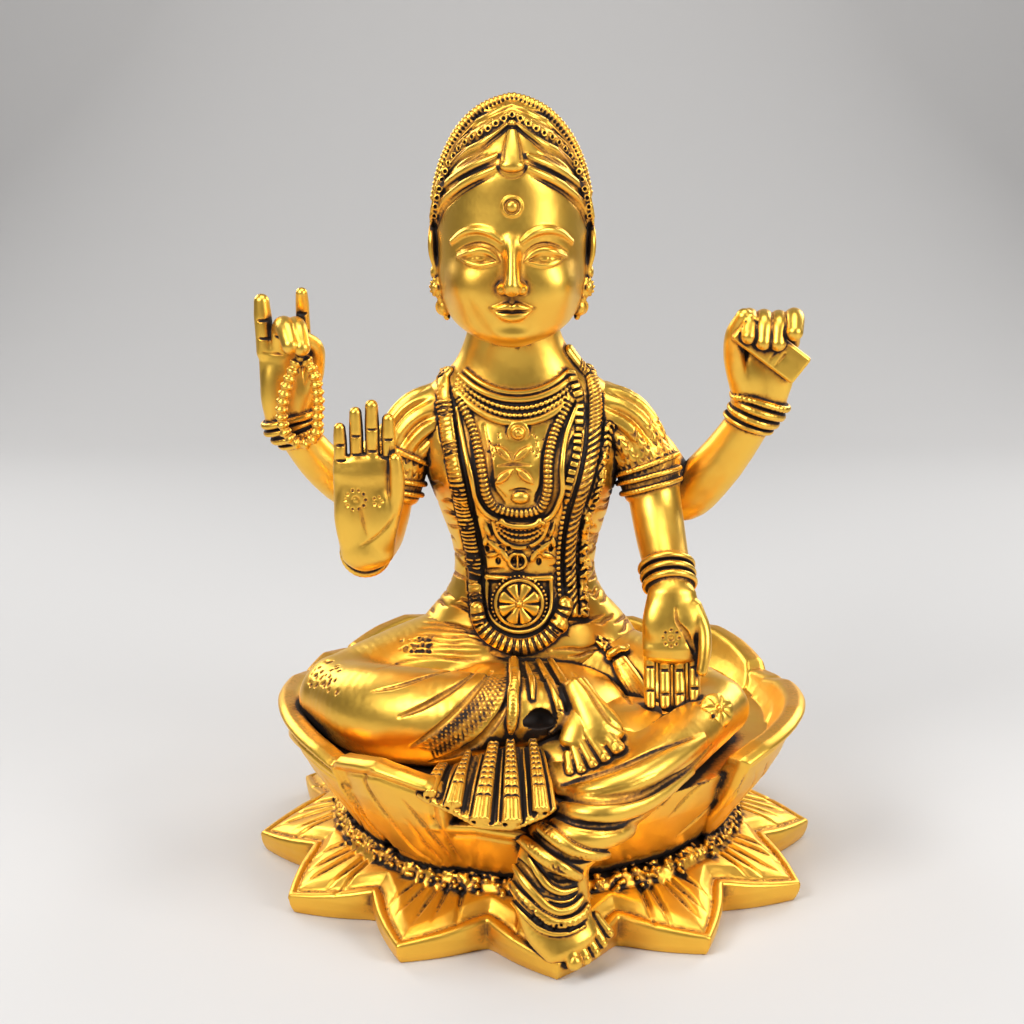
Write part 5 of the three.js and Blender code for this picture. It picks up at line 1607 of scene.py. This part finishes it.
right_leg.ripple(5.0, 0.07, 17)
right_leg.ripple(1.5, 0.03, 18)
right_leg_piece = cast(right_leg, "folded_leg_and_lap", 155000)
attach(right_leg_piece, "root")
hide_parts("figure")

# The hanging left leg, in cloth that sweeps from the knee to the ankle in long lens-shaped folds,
# with corded hems, anklets, and the foot on the front petal.
left_leg = Clay((-14, -81, 0), (62, 26, 72), 0.34 * ROUGHING)
thigh = route(widths([(8, 3, 56), (30, -5, 52), (46, -16, 48.5)], [16, 14, 10], [13, 10.5, 8.5]), 2)
left_leg.tube(thigh, face=(0, 0, 1), margin=5)
shin = left_leg.whole()
CALF = [(49, -20, 49), (38, -38.5, 48), (25, -53, 42.5), (13, -61.5, 36), (6, -65, 29.5)]
shin.tube(
    route(widths(CALF, [7.5, 7.6, 8, 8, 7.5], [7.5, 8.5, 9.2, 9, 8]), 2), face=(0.2, -1, 0.3), margin=5
)
left_leg.join(shin, 3)
lap = left_leg.whole()
lap.ball((18, -35, 45), (25, 19, 8.5), margin=5)
lap.ball((13, -49, 41.5), (16, 10.5, 6), margin=5)
left_leg.join(lap, 3)
foot = left_leg.lump((-14, -81, 0), (32, -50, 44))
DORSUM = [(4, -62.5, 30), (2.6, -66.6, 20.5), (4.0, -70.6, 13.2), (7.4, -74.2, 8.4)]
foot.tube(
    route(widths(DORSUM, [8.4, 9.4, 9.0, 7.4], [7.4, 6.6, 4.8, 3.2]), 1), face=(0.1, -0.75, 0.62), margin=3
)
left_leg.join(foot, 1.2)
FOLDS = [
    ([(560, 792), (600, 787), (640, 776), (675, 757), (704, 739)], [1.4, 2.6, 3.0, 2.4, 1.0]),
    ([(556, 806), (590, 812), (625, 810), (660, 796), (692, 772)], [1.2, 2.2, 2.5, 2.0, 0.8]),
    ([(553, 822), (575, 836), (603, 839), (630, 831), (655, 813)], [1.0, 2.2, 2.6, 2.2, 0.8]),
]
strands_on(left_leg, FOLDS, blend=1.4, lift=0.1, flat=0.7)
FOLD_GROOVES = [
    (
        [(562, 785), (578, 781), (600, 774), (625, 765), (655, 752), (691, 738)],
        [0.5, 0.9, 1.1, 1.0, 0.8, 0.3]
    ),
    (
        [(557, 799), (598, 803), (639, 797), (668, 781), (690, 767), (712, 745)],
        [0.3, 0.7, 0.8, 0.8, 0.6, 0.3]
    ),
    ([(552, 813), (575, 823.5), (613, 826), (643, 816)], [0.3, 0.7, 0.7, 0.3]),
    ([(575, 794), (620, 788), (655, 774)], [0.15, 0.25, 0.15]),
    ([(570, 830), (598, 834), (622, 831)], [0.15, 0.3, 0.15]),
]
chased(left_leg, FOLD_GROOVES, 0.5)

# Hems like cords, one under another, then the ankle's rings, the thickest of them ribbed.
HEMS = [
    (
        [(542.5, 828.8), (551, 834), (562.5, 841), (577.5, 848.8), (595, 852.5), (610, 852)],
        [1.4, 1.8, 1.8, 1.7, 1.5, 0.8]
    ),
    ([(524, 839), (537.5, 850), (550, 858.8), (565, 867.5), (578, 874.5)], [1.3, 1.8, 1.9, 1.8, 1.2]),
]
hems = strands_on(left_leg, HEMS, blend=0.3, lift=1.0)
ANKLE_RINGS = [
    (
        [
            (505, 866), (516, 888.8), (528.8, 903.8), (542.5, 916), (557.5, 923), (570, 922),
            (582, 914), (587, 905)
        ],
        [0.9, 1.3, 1.4, 1.4, 1.4, 1.4, 1.2, 0.8]
    ),
    (
        [(513, 862), (523.8, 880), (536, 895), (547.5, 906.5), (560, 911.5), (572, 907.8), (582, 897)],
        [0.7, 1.1, 1.15, 1.15, 1.15, 1.1, 0.7]
    ),
    ([(530, 858), (540, 875), (550, 887), (563, 892), (576, 888)], [0.7, 1.0, 1.0, 0.9, 0.6]),
    ([(545, 897.5), (557.5, 901.5), (570, 899.5), (577, 893)], [0.3, 0.45, 0.45, 0.3]),
    (
        [(501, 885), (512.5, 900), (526, 916), (540, 928.8), (555, 934), (570, 932.5), (584, 926)],
        [0.4, 0.6, 0.65, 0.65, 0.65, 0.6, 0.4]
    ),
]
rings = strands_on(left_leg, ANKLE_RINGS, blend=0.25, lift=0.5)
LITTLE = [((4.4, -72.9, 11.4), (8.1, -76.9, 5.2), 2.2), ((7.6, -72.6, 11.2), (11.0, -76.0, 5.6), 1.6)]
LITTLE += [((10.1, -71.4, 11.6), (13.4, -74.3, 6.4), 1.5), ((12.2, -70.0, 12.4), (15.3, -72.5, 7.8), 1.4)]
LITTLE += [((13.7, -68.3, 13.2), (17.0, -70.7, 9.5), 1.25)]
toes_on(left_leg, (-6, -84, 0), (32, -60, 22), LITTLE, 0.3, (0, -0.5, 0.85), 0.95, 0.0, 0.5)
notches = left_leg.lump((-14, -82, 0), (34, -44, 46))
for rows in hems:
    bars(notches, left_leg, left_leg.settle(rows), 1.2, 0.7, 0.2, 0.4)
bars(notches, left_leg, left_leg.settle(rings[0]), 1.7, 1.0, 0.28)
left_leg.cut(notches, 0.15)
HEM_GROOVES = [
    ([(533, 833), (545, 843), (557.5, 851.5), (577, 860.5), (592, 861)], [0.5, 1.0, 1.0, 0.9, 0.4]),
    ([(511, 854), (526, 869), (538, 886), (546, 892)], [0.4, 0.9, 0.8, 0.3]),
    ([(548, 874), (559, 879), (571, 880)], [0.4, 0.9, 0.4]),
    (
        [(508, 884), (522, 903), (540, 921), (556, 929), (572, 928), (588, 918)],
        [0.3, 0.45, 0.5, 0.5, 0.5, 0.3]
    ),
]
chased(left_leg, HEM_GROOVES, 0.3)

# The flower at the knee, and the shawl's corded end with its tassel.
KNEE_HEART = [(717, 710), (717.5, 710)]
heart = drawn(left_leg, KNEE_HEART, 1)[0, :3]
heart_out = unit(left_leg.normal(heart[None], 2.0)[0] * 0.5 + unit((0.1, -0.9, 0.4)))
a = unit(np.cross(heart_out, (0, 0, 1)))
b = np.cross(a, heart_out)
disc = np.array([a, b, heart_out])
flower = left_leg.lump(heart - 9, heart + 9)
flower.ball(heart, (4.4, 4.4, 2.0), disc)
flower.tube(
    [(*(heart + 4.0 * (math.cos(t) * a + math.sin(t) * b)), 0.7) for t in np.linspace(0, 2 * math.pi, 25)]
)
left_leg.join(flower, 0.25)
cuts = left_leg.lump(heart - 9, heart + 9)
for t in np.linspace(0.2, 2 * math.pi + 0.2, 7, endpoint=False):
    way = math.cos(t) * a + math.sin(t) * b
    cuts.tube(
        [(*(heart + way * 1.3 + heart_out * 2.0), 0.28), (*(heart + way * 4.2 + heart_out * 1.2), 0.5)],
        margin=1.2
    )
left_leg.cut(cuts, 0.2)
knob = left_leg.lump(heart - 9, heart + 9)
knob.ball(heart + heart_out * 2.0, 0.95)
left_leg.join(knob, 0.2)
TASSEL = [
    ([(574, 614), (590, 634), (607, 650)], [1.3, 1.6, 1.3]),
    ([(620, 663), (630, 680), (641, 697)], [2.2, 3.0, 3.2]),
]
tassel = strands_on(left_leg, TASSEL, blend=0.3, lift=0.9)
TASSEL_TIE = [([(610, 661), (618, 656), (626, 651)], [1.0, 1.3, 1.0])]
strands_on(left_leg, TASSEL_TIE, lift=1.8)
cuts = left_leg.lump((0, -50, 40), (50, -2, 74))
bars(cuts, left_leg, left_leg.settle(tassel[0]), 1.4, 0.9, 0.24, 0.8)
for shift in (-6, -3, 0, 3, 6):
    cuts.tube(
        drawn(
            left_leg, [(620 + 0.7 * shift, 666 - 0.4 * shift), (641 + shift, 698 - 0.6 * shift)], 0.3,
            lift=0.1
        ),
        margin=1.2
    )
left_leg.cut(cuts, 0.2)
left_leg.ripple(5.0, 0.08, 19)
left_leg.ripple(1.5, 0.035, 20)
left_leg_piece = cast(left_leg, "hanging_leg", 105000)
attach(left_leg_piece, "root")
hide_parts("figure")

# The upper lotus, a cast cup whose petals stand in two rows. The outer rims are rolled and
# burnished, and long veins are gouged down the petals to the foot.
CUP_WALL = [52.5, 56, 60, 64, 67, 69, 70]
CUP_FOOT, CUP_FLOOR, CUP_TIP = 15.3, 40.2, 49
FAN_PETAL = -34  # degrees round the cup, under the fan, and plain
# Each front petal: its angle, half width, belly, tip and fall, and the angle and tip of the one behind.
CUP_PETALS = [(-146, 24, 1.8, 49, 1, -117, 46.5), (-77, 31, -0.4, 48.5, 0.45, -63, 45)]
CUP_PETALS += [(FAN_PETAL, 15, 1.8, 50.5, 0.75, -14, 36), (74, 27, 1.8, 49.5, 0.45, 100, 46.5)]
CUP_PETALS += [(130, 24, 1.8, 50, 1, 154, 47.5), (178, 24, 1.8, 50, 1, -164, 47.5)]
seat = Clay((-76, -76, 13.5), (76, 76, 53), 0.42 * ROUGHING)


def wall(z):
    return np.interp(z, np.linspace(CUP_FOOT, CUP_TIP, len(CUP_WALL)), CUP_WALL).astype(np.float32)


def bowl(x, y, z):
    reach = np.interp(z, [15, 23, 32, 40], [51.5, 56.3, 61.3, 64.5]).astype(np.float32)
    return np.maximum(np.sqrt(x * x + y * y) - reach, np.maximum(z - CUP_FLOOR, CUP_FOOT - z))


def cup_petal(angle, half, proud, tip, fall, rim):
    middle = math.radians(angle)
    face = np.array([math.sin(middle), -math.cos(middle)])

    def shape(x, y, z):
        turn = np.arctan2(x * face[1] * -1 + y * face[0], x * face[0] + y * face[1])
        u = np.degrees(turn) / half
        away = np.sqrt(x * x + y * y)
        v = np.clip((z - CUP_FOOT) / (tip - CUP_FOOT), -0.1, 1.2)
        foot = np.interp(v, [0, 0.3, 0.62, 1.0], [0.62, 0.92, 1.0, 1.0]).astype(np.float32)
        crest = np.interp(np.abs(u), [0, 0.35, 0.74, 0.95, 1.1], [0, 1.3, 3.6, 7.5, 12]).astype(np.float32)
        side = (np.abs(u) - foot) * math.radians(half) * away * 0.85
        over = np.maximum(side, (z + crest * fall - tip) * 0.85)
        belly = proud * (1 - np.minimum(u * u, 1)) + 0.8 * np.clip((v - 0.7) / 0.3, 0, 1)
        near = -np.clip(over, -6, 0)
        lip = rim * np.exp(-(((near - 1.5) / 1.3) ** 2)) * np.clip((v - 0.3) * 4, 0, 1)
        line = 0.8 * np.exp(-(((near - 3.9) / 0.55) ** 2)) * np.clip((v - 0.4) * 4, 0, 1)
        outer = away - (wall(z) + belly + lip - line)
        thick = np.interp(v, [0, 0.4, 0.68, 0.88, 1], [9, 9, 6, 4.6, 4]).astype(np.float32)
        inner = (wall(z) + belly - thick) - away
        gap = np.maximum(np.maximum(outer, inner), CUP_FOOT - z)
        corner = np.sqrt(np.maximum(over + 1.2, 0) ** 2 + np.maximum(gap + 1.2, 0) ** 2) - 1.2
        return np.maximum(np.maximum(over, gap), corner) + 0 * x

    return shape


everywhere = ((-76, -76, 13), (76, 76, 54))
seat.press(*everywhere, bowl)
for angle, half, proud, tip, fall, behind, behind_tip in CUP_PETALS:
    seat.press(*everywhere, cup_petal(behind, 21, 0.4, behind_tip, 1, 1.0))
for angle, half, proud, tip, fall, behind, behind_tip in CUP_PETALS:
    seat.press(*everywhere, cup_petal(angle, half, proud, tip, fall, 2.0))
veins = seat.lump(*everywhere)
rng = np.random.default_rng(51)
for angle, half, proud, tip, fall, behind, behind_tip in CUP_PETALS:
    if angle == FAN_PETAL:
        continue
    for k in range(-3, 4):
        foot_turn = angle + 5.5 * k + rng.uniform(-1, 1)
        top_turn = angle + 6.2 * k + rng.uniform(-1, 1)
        top = tip - 9 - 1.2 * abs(k) + rng.uniform(-3, 2)
        points = []
        for z, share in ((CUP_FOOT + 1, 0), (24, 0.3), (top - 6, 0.75), (top, 1)):
            t = math.radians(foot_turn * (1 - share) + top_turn * share + 5 * math.sin(math.pi * share))
            points.append((75 * math.sin(t), -75 * math.cos(t), z))
        rows = route(widths(points, [0.6, 0.65, 0.5, 0.25]), 1.2)
        inward = np.column_stack([-rows[:, 0], -rows[:, 1], 0 * rows[:, 0]])
        veins.tube(seat.meet(rows, toward=inward, start=0, lift=0.1), margin=1.5)
seat.cut(veins, 0.5)
sweeps = [
    [(330, 760), (346, 791), (362, 819), (383, 842), (415, 858)],
    [(373, 768), (364.5, 778), (373, 797), (395, 827), (415, 850), (434, 862)],
    [(403, 801), (420, 821), (444, 850), (452, 862)],
    [(407, 821), (430, 850), (440, 860)],
    [(434, 817), (446, 838), (460, 860)],
    [(340, 768), (352, 796), (372, 826), (398, 852)],
    [(716, 800), (703, 814), (678, 836)],
    [(671, 816), (686, 799), (708, 779)],
    [(767, 763), (761, 781), (744, 799), (726, 821)],
    [(746, 769), (742, 786), (729, 802.5), (714, 821)],
]
chased(seat, [(line, [0.3, 0.8, 0.7, 0.4]) for line in sweeps], 0.5)
seat.ripple(6.0, 0.1, 23)
seat.ripple(2.0, 0.03, 24)
seat_piece = cast(seat, "lotus_cup", 105000)
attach(seat_piece, "root")
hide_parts("lotus_seat")

# The lower lotus, a ring of twelve pointed petals cast in one piece: a burnished rim round each, a
# line inside it and a swollen field with gouged veins. Brazing left grains round the cup's foot.
PETAL_COUNT, PETAL_TURN, TIP, NOTCH, ROOT = 12, 3, 78.8, 65, 46
ROOT_TOP, TIP_TOP, CORE_TOP, CORNER = 12.8, 5.4, 14.7, 0.9
base = Clay((-80, -80, -0.5), (80, 80, 18.5), 0.42 * ROUGHING)
reach_x, reach_y, level = base.grid(np.zeros(3, int), np.array(base.field.shape))
away = np.sqrt(reach_x**2 + reach_y**2)
heading = np.arctan2(reach_x, -reach_y) - math.radians(PETAL_TURN)
step = 2 * math.pi / PETAL_COUNT
turn = np.abs((heading + step / 2) % step - step / 2)
along, aside = away * np.cos(turn), away * np.sin(turn)
# Distance inside the bowed edge that runs from the notch to the tip.
notch_x, notch_y = NOTCH * math.cos(step / 2), NOTCH * math.sin(step / 2)
edge = unit((TIP - notch_x, -notch_y))
bow = np.clip((along - notch_x) / (TIP - notch_x), 0, 1)
rim_gap = (along - notch_x) * -edge[1] + (aside - notch_y) * edge[0] - 1.0 * np.sin(math.pi * bow)
inside = np.maximum(-rim_gap, 0)
run = np.clip((along - ROOT) / (TIP - ROOT), 0, 1)
ledge = ROOT_TOP + (TIP_TOP - ROOT_TOP) * run**1.15
field = np.clip((inside - 3.0) / 3.0, 0, 1)
field = field * field * (3 - 2 * field)
top = ledge + 1.9 * field * np.clip(1.5 * (1 - run), 0, 1) * np.clip((away - 50) / 8, 0, 1)
top = top - 0.7 * np.exp(-(((inside - 2.7) / 0.42) ** 2)) * np.clip((away - 55) / 4, 0, 1)
rng = np.random.default_rng(61)
which = np.floor((heading + step / 2) / step) % PETAL_COUNT
signed = heading - which * step
signed = (signed + math.pi) % (2 * math.pi) - math.pi
cross = away * np.sin(signed)
for petal in range(PETAL_COUNT):
    for k, place in enumerate((-7.2, -3.4, 0.2, 3.7, 7.4)):
        place = place + rng.uniform(-0.7, 0.7)
        lean = 0.13 * place / 3 + rng.uniform(-0.02, 0.02)
        stop = rng.uniform(71, 75) - 0.5 * abs(place)
        centre = place * 0.82 + lean * (along - 56)
        depth = 1.1 * np.clip((stop - along) / 8, 0, 1) * np.clip((away - 50) / 4, 0, 1)
        width = 0.35 + 0.4 * np.clip((stop - along) / 14, 0, 1)
        top = top - np.where(which == petal, depth * np.exp(-(((cross - centre) / width) ** 2)), 0)
undercut = 1.8 * np.clip(1 - level / 3, 0, 1) ** 1.5
side = rim_gap + 0.5 * np.sin(math.pi * np.clip(level / TIP_TOP, 0, 1)) + 0.15 + undercut
above = (level - top) * 0.85
round_off = np.sqrt(np.maximum(side + CORNER, 0) ** 2 + np.maximum(above + CORNER, 0) ** 2) - CORNER
corner = np.where((side > -CORNER) & (above > -CORNER), round_off, -FAR)
petal_gap = np.maximum(np.maximum(np.maximum(side, above), corner), -level)
core = away - np.interp(level, [0, 8, 12.5, 13.8, 15], [60, 60, 57, 56, 54.5])
core = np.maximum(core, np.maximum(level - CORE_TOP, -level))
base.field[:] = np.minimum(np.minimum(petal_gap, core), FAR)
grains = base.lump((-60, -60, 8), (60, 60, 18.5))
for _ in range(1100 if ROUGHING == 1 else 350):
    t = rng.uniform(0, 2 * math.pi)
    r = rng.triangular(52.2, 53.5, 58.5)
    z = np.interp(r, [52, 54, 59], [16.0, 15.0, 12.4]) + rng.uniform(-0.3, 0.4)
    grains.ball((r * math.sin(t), -r * math.cos(t), z), rng.uniform(0.45, 0.95), margin=1.5)
base.join(grains, 0.5)
base.ripple(5.0, 0.08, 27, np.clip(level / 2, 0, 1))
base.ripple(1.6, 0.025, 28, np.clip(level / 2, 0, 1))
base_piece = cast(base, "lotus_ring", 90000)
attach(base_piece, "root")
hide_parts("lotus_base")

# The finish of the whole casting. It was dipped in a dark brown wash, gilded yellow and then
# buffed, so the wash stays where the buffing wheel couldn't reach, and the proud parts shine.
# The dark in the hollows is also painted shade, an ambient occlusion of the skins mixed into the
# colour, and the gold is painted a deeper orange there.
class Tone:
    """A value of the finish, so that its sums can be written as sums."""

    def __init__(self, finish, socket):
        self.finish = finish
        self.socket = socket

    def __add__(self, other):
        return self.finish.sum("ADD", self, other)

    __radd__ = __add__

    def __mul__(self, other):
        return self.finish.sum("MULTIPLY", self, other)

    __rmul__ = __mul__

    def __sub__(self, other):
        return self.finish.sum("SUBTRACT", self, other)

    def __rsub__(self, other):
        return self.finish.sum("SUBTRACT", other, self)

    def held(self):
        return self.finish.sum("ADD", self, 0.0, clamp=True)


class Finish:
    def __init__(self, name):
        self.material = bpy.data.materials.new(name)
        self.material.use_nodes = True
        self.tree = self.material.node_tree
        self.tree.nodes.clear()

    def node(self, kind, settings=(), sockets=(), output=0):
        made = self.tree.nodes.new(kind)
        for key, value in dict(settings).items():
            setattr(made, key, value)
        for key, value in dict(sockets).items():
            if isinstance(value, Tone):
                self.tree.links.new(value.socket, made.inputs[key])
            else:
                made.inputs[key].default_value = value
        return Tone(self, made.outputs[output]) if len(made.outputs) else made

    def sum(self, operation, a, b, clamp=False):
        return self.node("ShaderNodeMath", {"operation": operation, "use_clamp": clamp}, {0: a, 1: b})

    def blend(self, share, a, b):
        return self.node("ShaderNodeMix", {"data_type": "RGBA"}, {0: share, 6: a, 7: b}, output=2)

    def cloud(self, size, detail=2.0, stretch=(1, 1, 1)):
        """Soft blotches about size metres across."""
        place = self.node("ShaderNodeTexCoord", output=3)
        place = self.node("ShaderNodeMapping", {}, {"Vector": place, "Scale": stretch})
        return self.node("ShaderNodeTexNoise", {}, {"Vector": place, "Scale": 1 / size, "Detail": detail})


def gilt(name, bright, deep, shine):
    finish = Finish(name)
    # Painted shade: the ambient occlusion worked out at each corner of the skins, which also stands for the
    # dark wash left in the hollows.
    shade_and_wash = finish.node("ShaderNodeAttribute", {"attribute_name": "shade_and_wash"}, output=2)
    speck = finish.cloud(0.0009, 3.0)
    blotch = finish.cloud(0.012)
    # The near black mixed in here is the dark wash and painted shade in the hollows, with random specks and
    # blotches.
    wash_and_shade = ((shade_and_wash * 2.3 + (speck - 0.5) * 0.45 + (blotch - 0.5) * 0.3 - 0.32) * 1.7).held()
    # The gold turns a deeper orange in the hollows as painted shade, and in random blotches as its own tone.
    tone_and_shade = (shade_and_wash * 2.2 + (blotch - 0.5) * 0.8).held()
    gold = finish.blend(tone_and_shade, (*bright, 1), (*deep, 1))
    colour = finish.blend(wash_and_shade, gold, (0.016, 0.007, 0.003, 1))
    scratches = finish.cloud(0.0006, 2.0, (1, 1, 0.15))
    grain = finish.cloud(0.0004, 2.0)
    height = scratches * 0.5 + grain * 0.5
    bump = finish.node("ShaderNodeBump", {}, {"Strength": 0.07, "Distance": 0.0002, "Height": height})
    surface = finish.node(
        "ShaderNodeBsdfPrincipled",
        {},
        {
            "Base Color": colour,
            "Metallic": 1 - wash_and_shade * 0.8,
            "Roughness": shine + wash_and_shade * 0.3 + (speck - 0.5) * 0.1,
            "Normal": bump,
        },
    )
    finish.node("ShaderNodeOutputMaterial", {}, {"Surface": surface})
    return finish.material


figure_gilt = gilt("figure_gilt", (1.0, 0.60, 0.09), (0.9, 0.30, 0.02), 0.36)
lotus_gilt = gilt("lotus_gilt", (1.0, 0.58, 0.08), (0.85, 0.28, 0.02), 0.38)
for piece, clay, at in castings:
    out = clay.normal(at)
    # Painted shade: ambient occlusion of each corner, sampled out along its normal at four reaches through
    # all the castings. It also stands for the wash in the hollows.
    shade_and_wash = np.zeros(len(at))
    for reach, weight in ((0.5, 0.3), (1.0, 0.3), (2.0, 0.25), (4.0, 0.15)):
        gap = np.min([other.sample(at + out * reach) for _, other, _ in castings], axis=0)
        shade_and_wash += weight * np.clip(1 - gap / reach, 0, 1)
    # A spot of painted shadow in the hollow under the gathers, and less of the wash and painted shade on the
    # face.
    shade_and_wash += np.exp(-(np.linalg.norm((at - shadow_spot) / (4.2, 4.5, 3.0), axis=1) ** 2))
    below_brow = np.clip((BROW + 14 - at[:, 2]) / 6, 0, 1)
    above_chin = np.clip((at[:, 2] - CHIN) / 6, 0, 1)
    face_lighter = below_brow * above_chin * (at[:, 1] < -8) * (piece is head_piece)
    # The face keeps less of the wash and painted shade.
    shade_and_wash *= 1 - 0.35 * face_lighter
    shade_and_wash_map = piece.data.attributes.new("shade_and_wash", "FLOAT", "POINT")
    shade_and_wash_map.data.foreach_set("value", shade_and_wash.astype(np.float32))
    piece.data.materials.append(lotus_gilt if piece.name.startswith("lotus") else figure_gilt)

# The studio: a pale sweep of paper under and behind the idol, and soft lights round it.
PAPER_BACK, PAPER_BEND = 0.5, 0.25
turns = np.linspace(0.1, 1.57, 10)
rise = [(PAPER_BACK + PAPER_BEND * math.sin(a), PAPER_BEND - PAPER_BEND * math.cos(a)) for a in turns]
sweep_profile = [(-0.9, 0.0), (PAPER_BACK, 0.0), *rise, (PAPER_BACK + PAPER_BEND, 1.4)]
verts = [(x, y, z) for x in (-1.6, 1.6) for y, z in sweep_profile]
rows = len(sweep_profile)
paper = bpy.data.meshes.new("paper_sweep")
paper.from_pydata(verts, [], [(i, i + rows, i + rows + 1, i + 1) for i in range(rows - 1)])
paper.polygons.foreach_set("use_smooth", [True] * len(paper.polygons))
sweep = bpy.data.objects.new("paper_sweep", paper)
bpy.context.scene.collection.objects.link(sweep)
matte = Finish("paper")
surface = matte.node("ShaderNodeBsdfPrincipled", {}, {"Base Color": (0.62, 0.61, 0.6, 1), "Roughness": 0.8})
matte.node("ShaderNodeOutputMaterial", {}, {"Surface": surface})
paper.materials.append(matte.material)

LIGHTS = [("key", (-0.40, -0.42, 0.52), 0.30, 3.4), ("fill", (0.46, -0.34, 0.34), 0.26, 2.0)]
LIGHTS += [("top", (0.02, -0.10, 0.72), 0.36, 2.0), ("back_left", (-0.45, 0.40, 0.40), 0.3, 1.6)]
LIGHTS += [("back_right", (0.45, 0.42, 0.38), 0.3, 1.6)]
for name, place, size, power in LIGHTS:
    lamp = bpy.data.lights.new(name, "AREA")
    lamp.size = size
    lamp.energy = power
    holder = bpy.data.objects.new(name, lamp)
    holder.location = place
    holder.rotation_euler = (Vector((0, 0, 0.1)) - Vector(place)).to_track_quat("-Z", "Y").to_euler()
    bpy.context.scene.collection.objects.link(holder)
world = bpy.data.worlds.new("room")
world.use_nodes = True
world.node_tree.nodes["Background"].inputs[0].default_value = (0.5, 0.5, 0.52, 1)
world.node_tree.nodes["Background"].inputs[1].default_value = 0.22
bpy.context.scene.world = world
bpy.context.scene.view_settings.view_transform = "Standard"
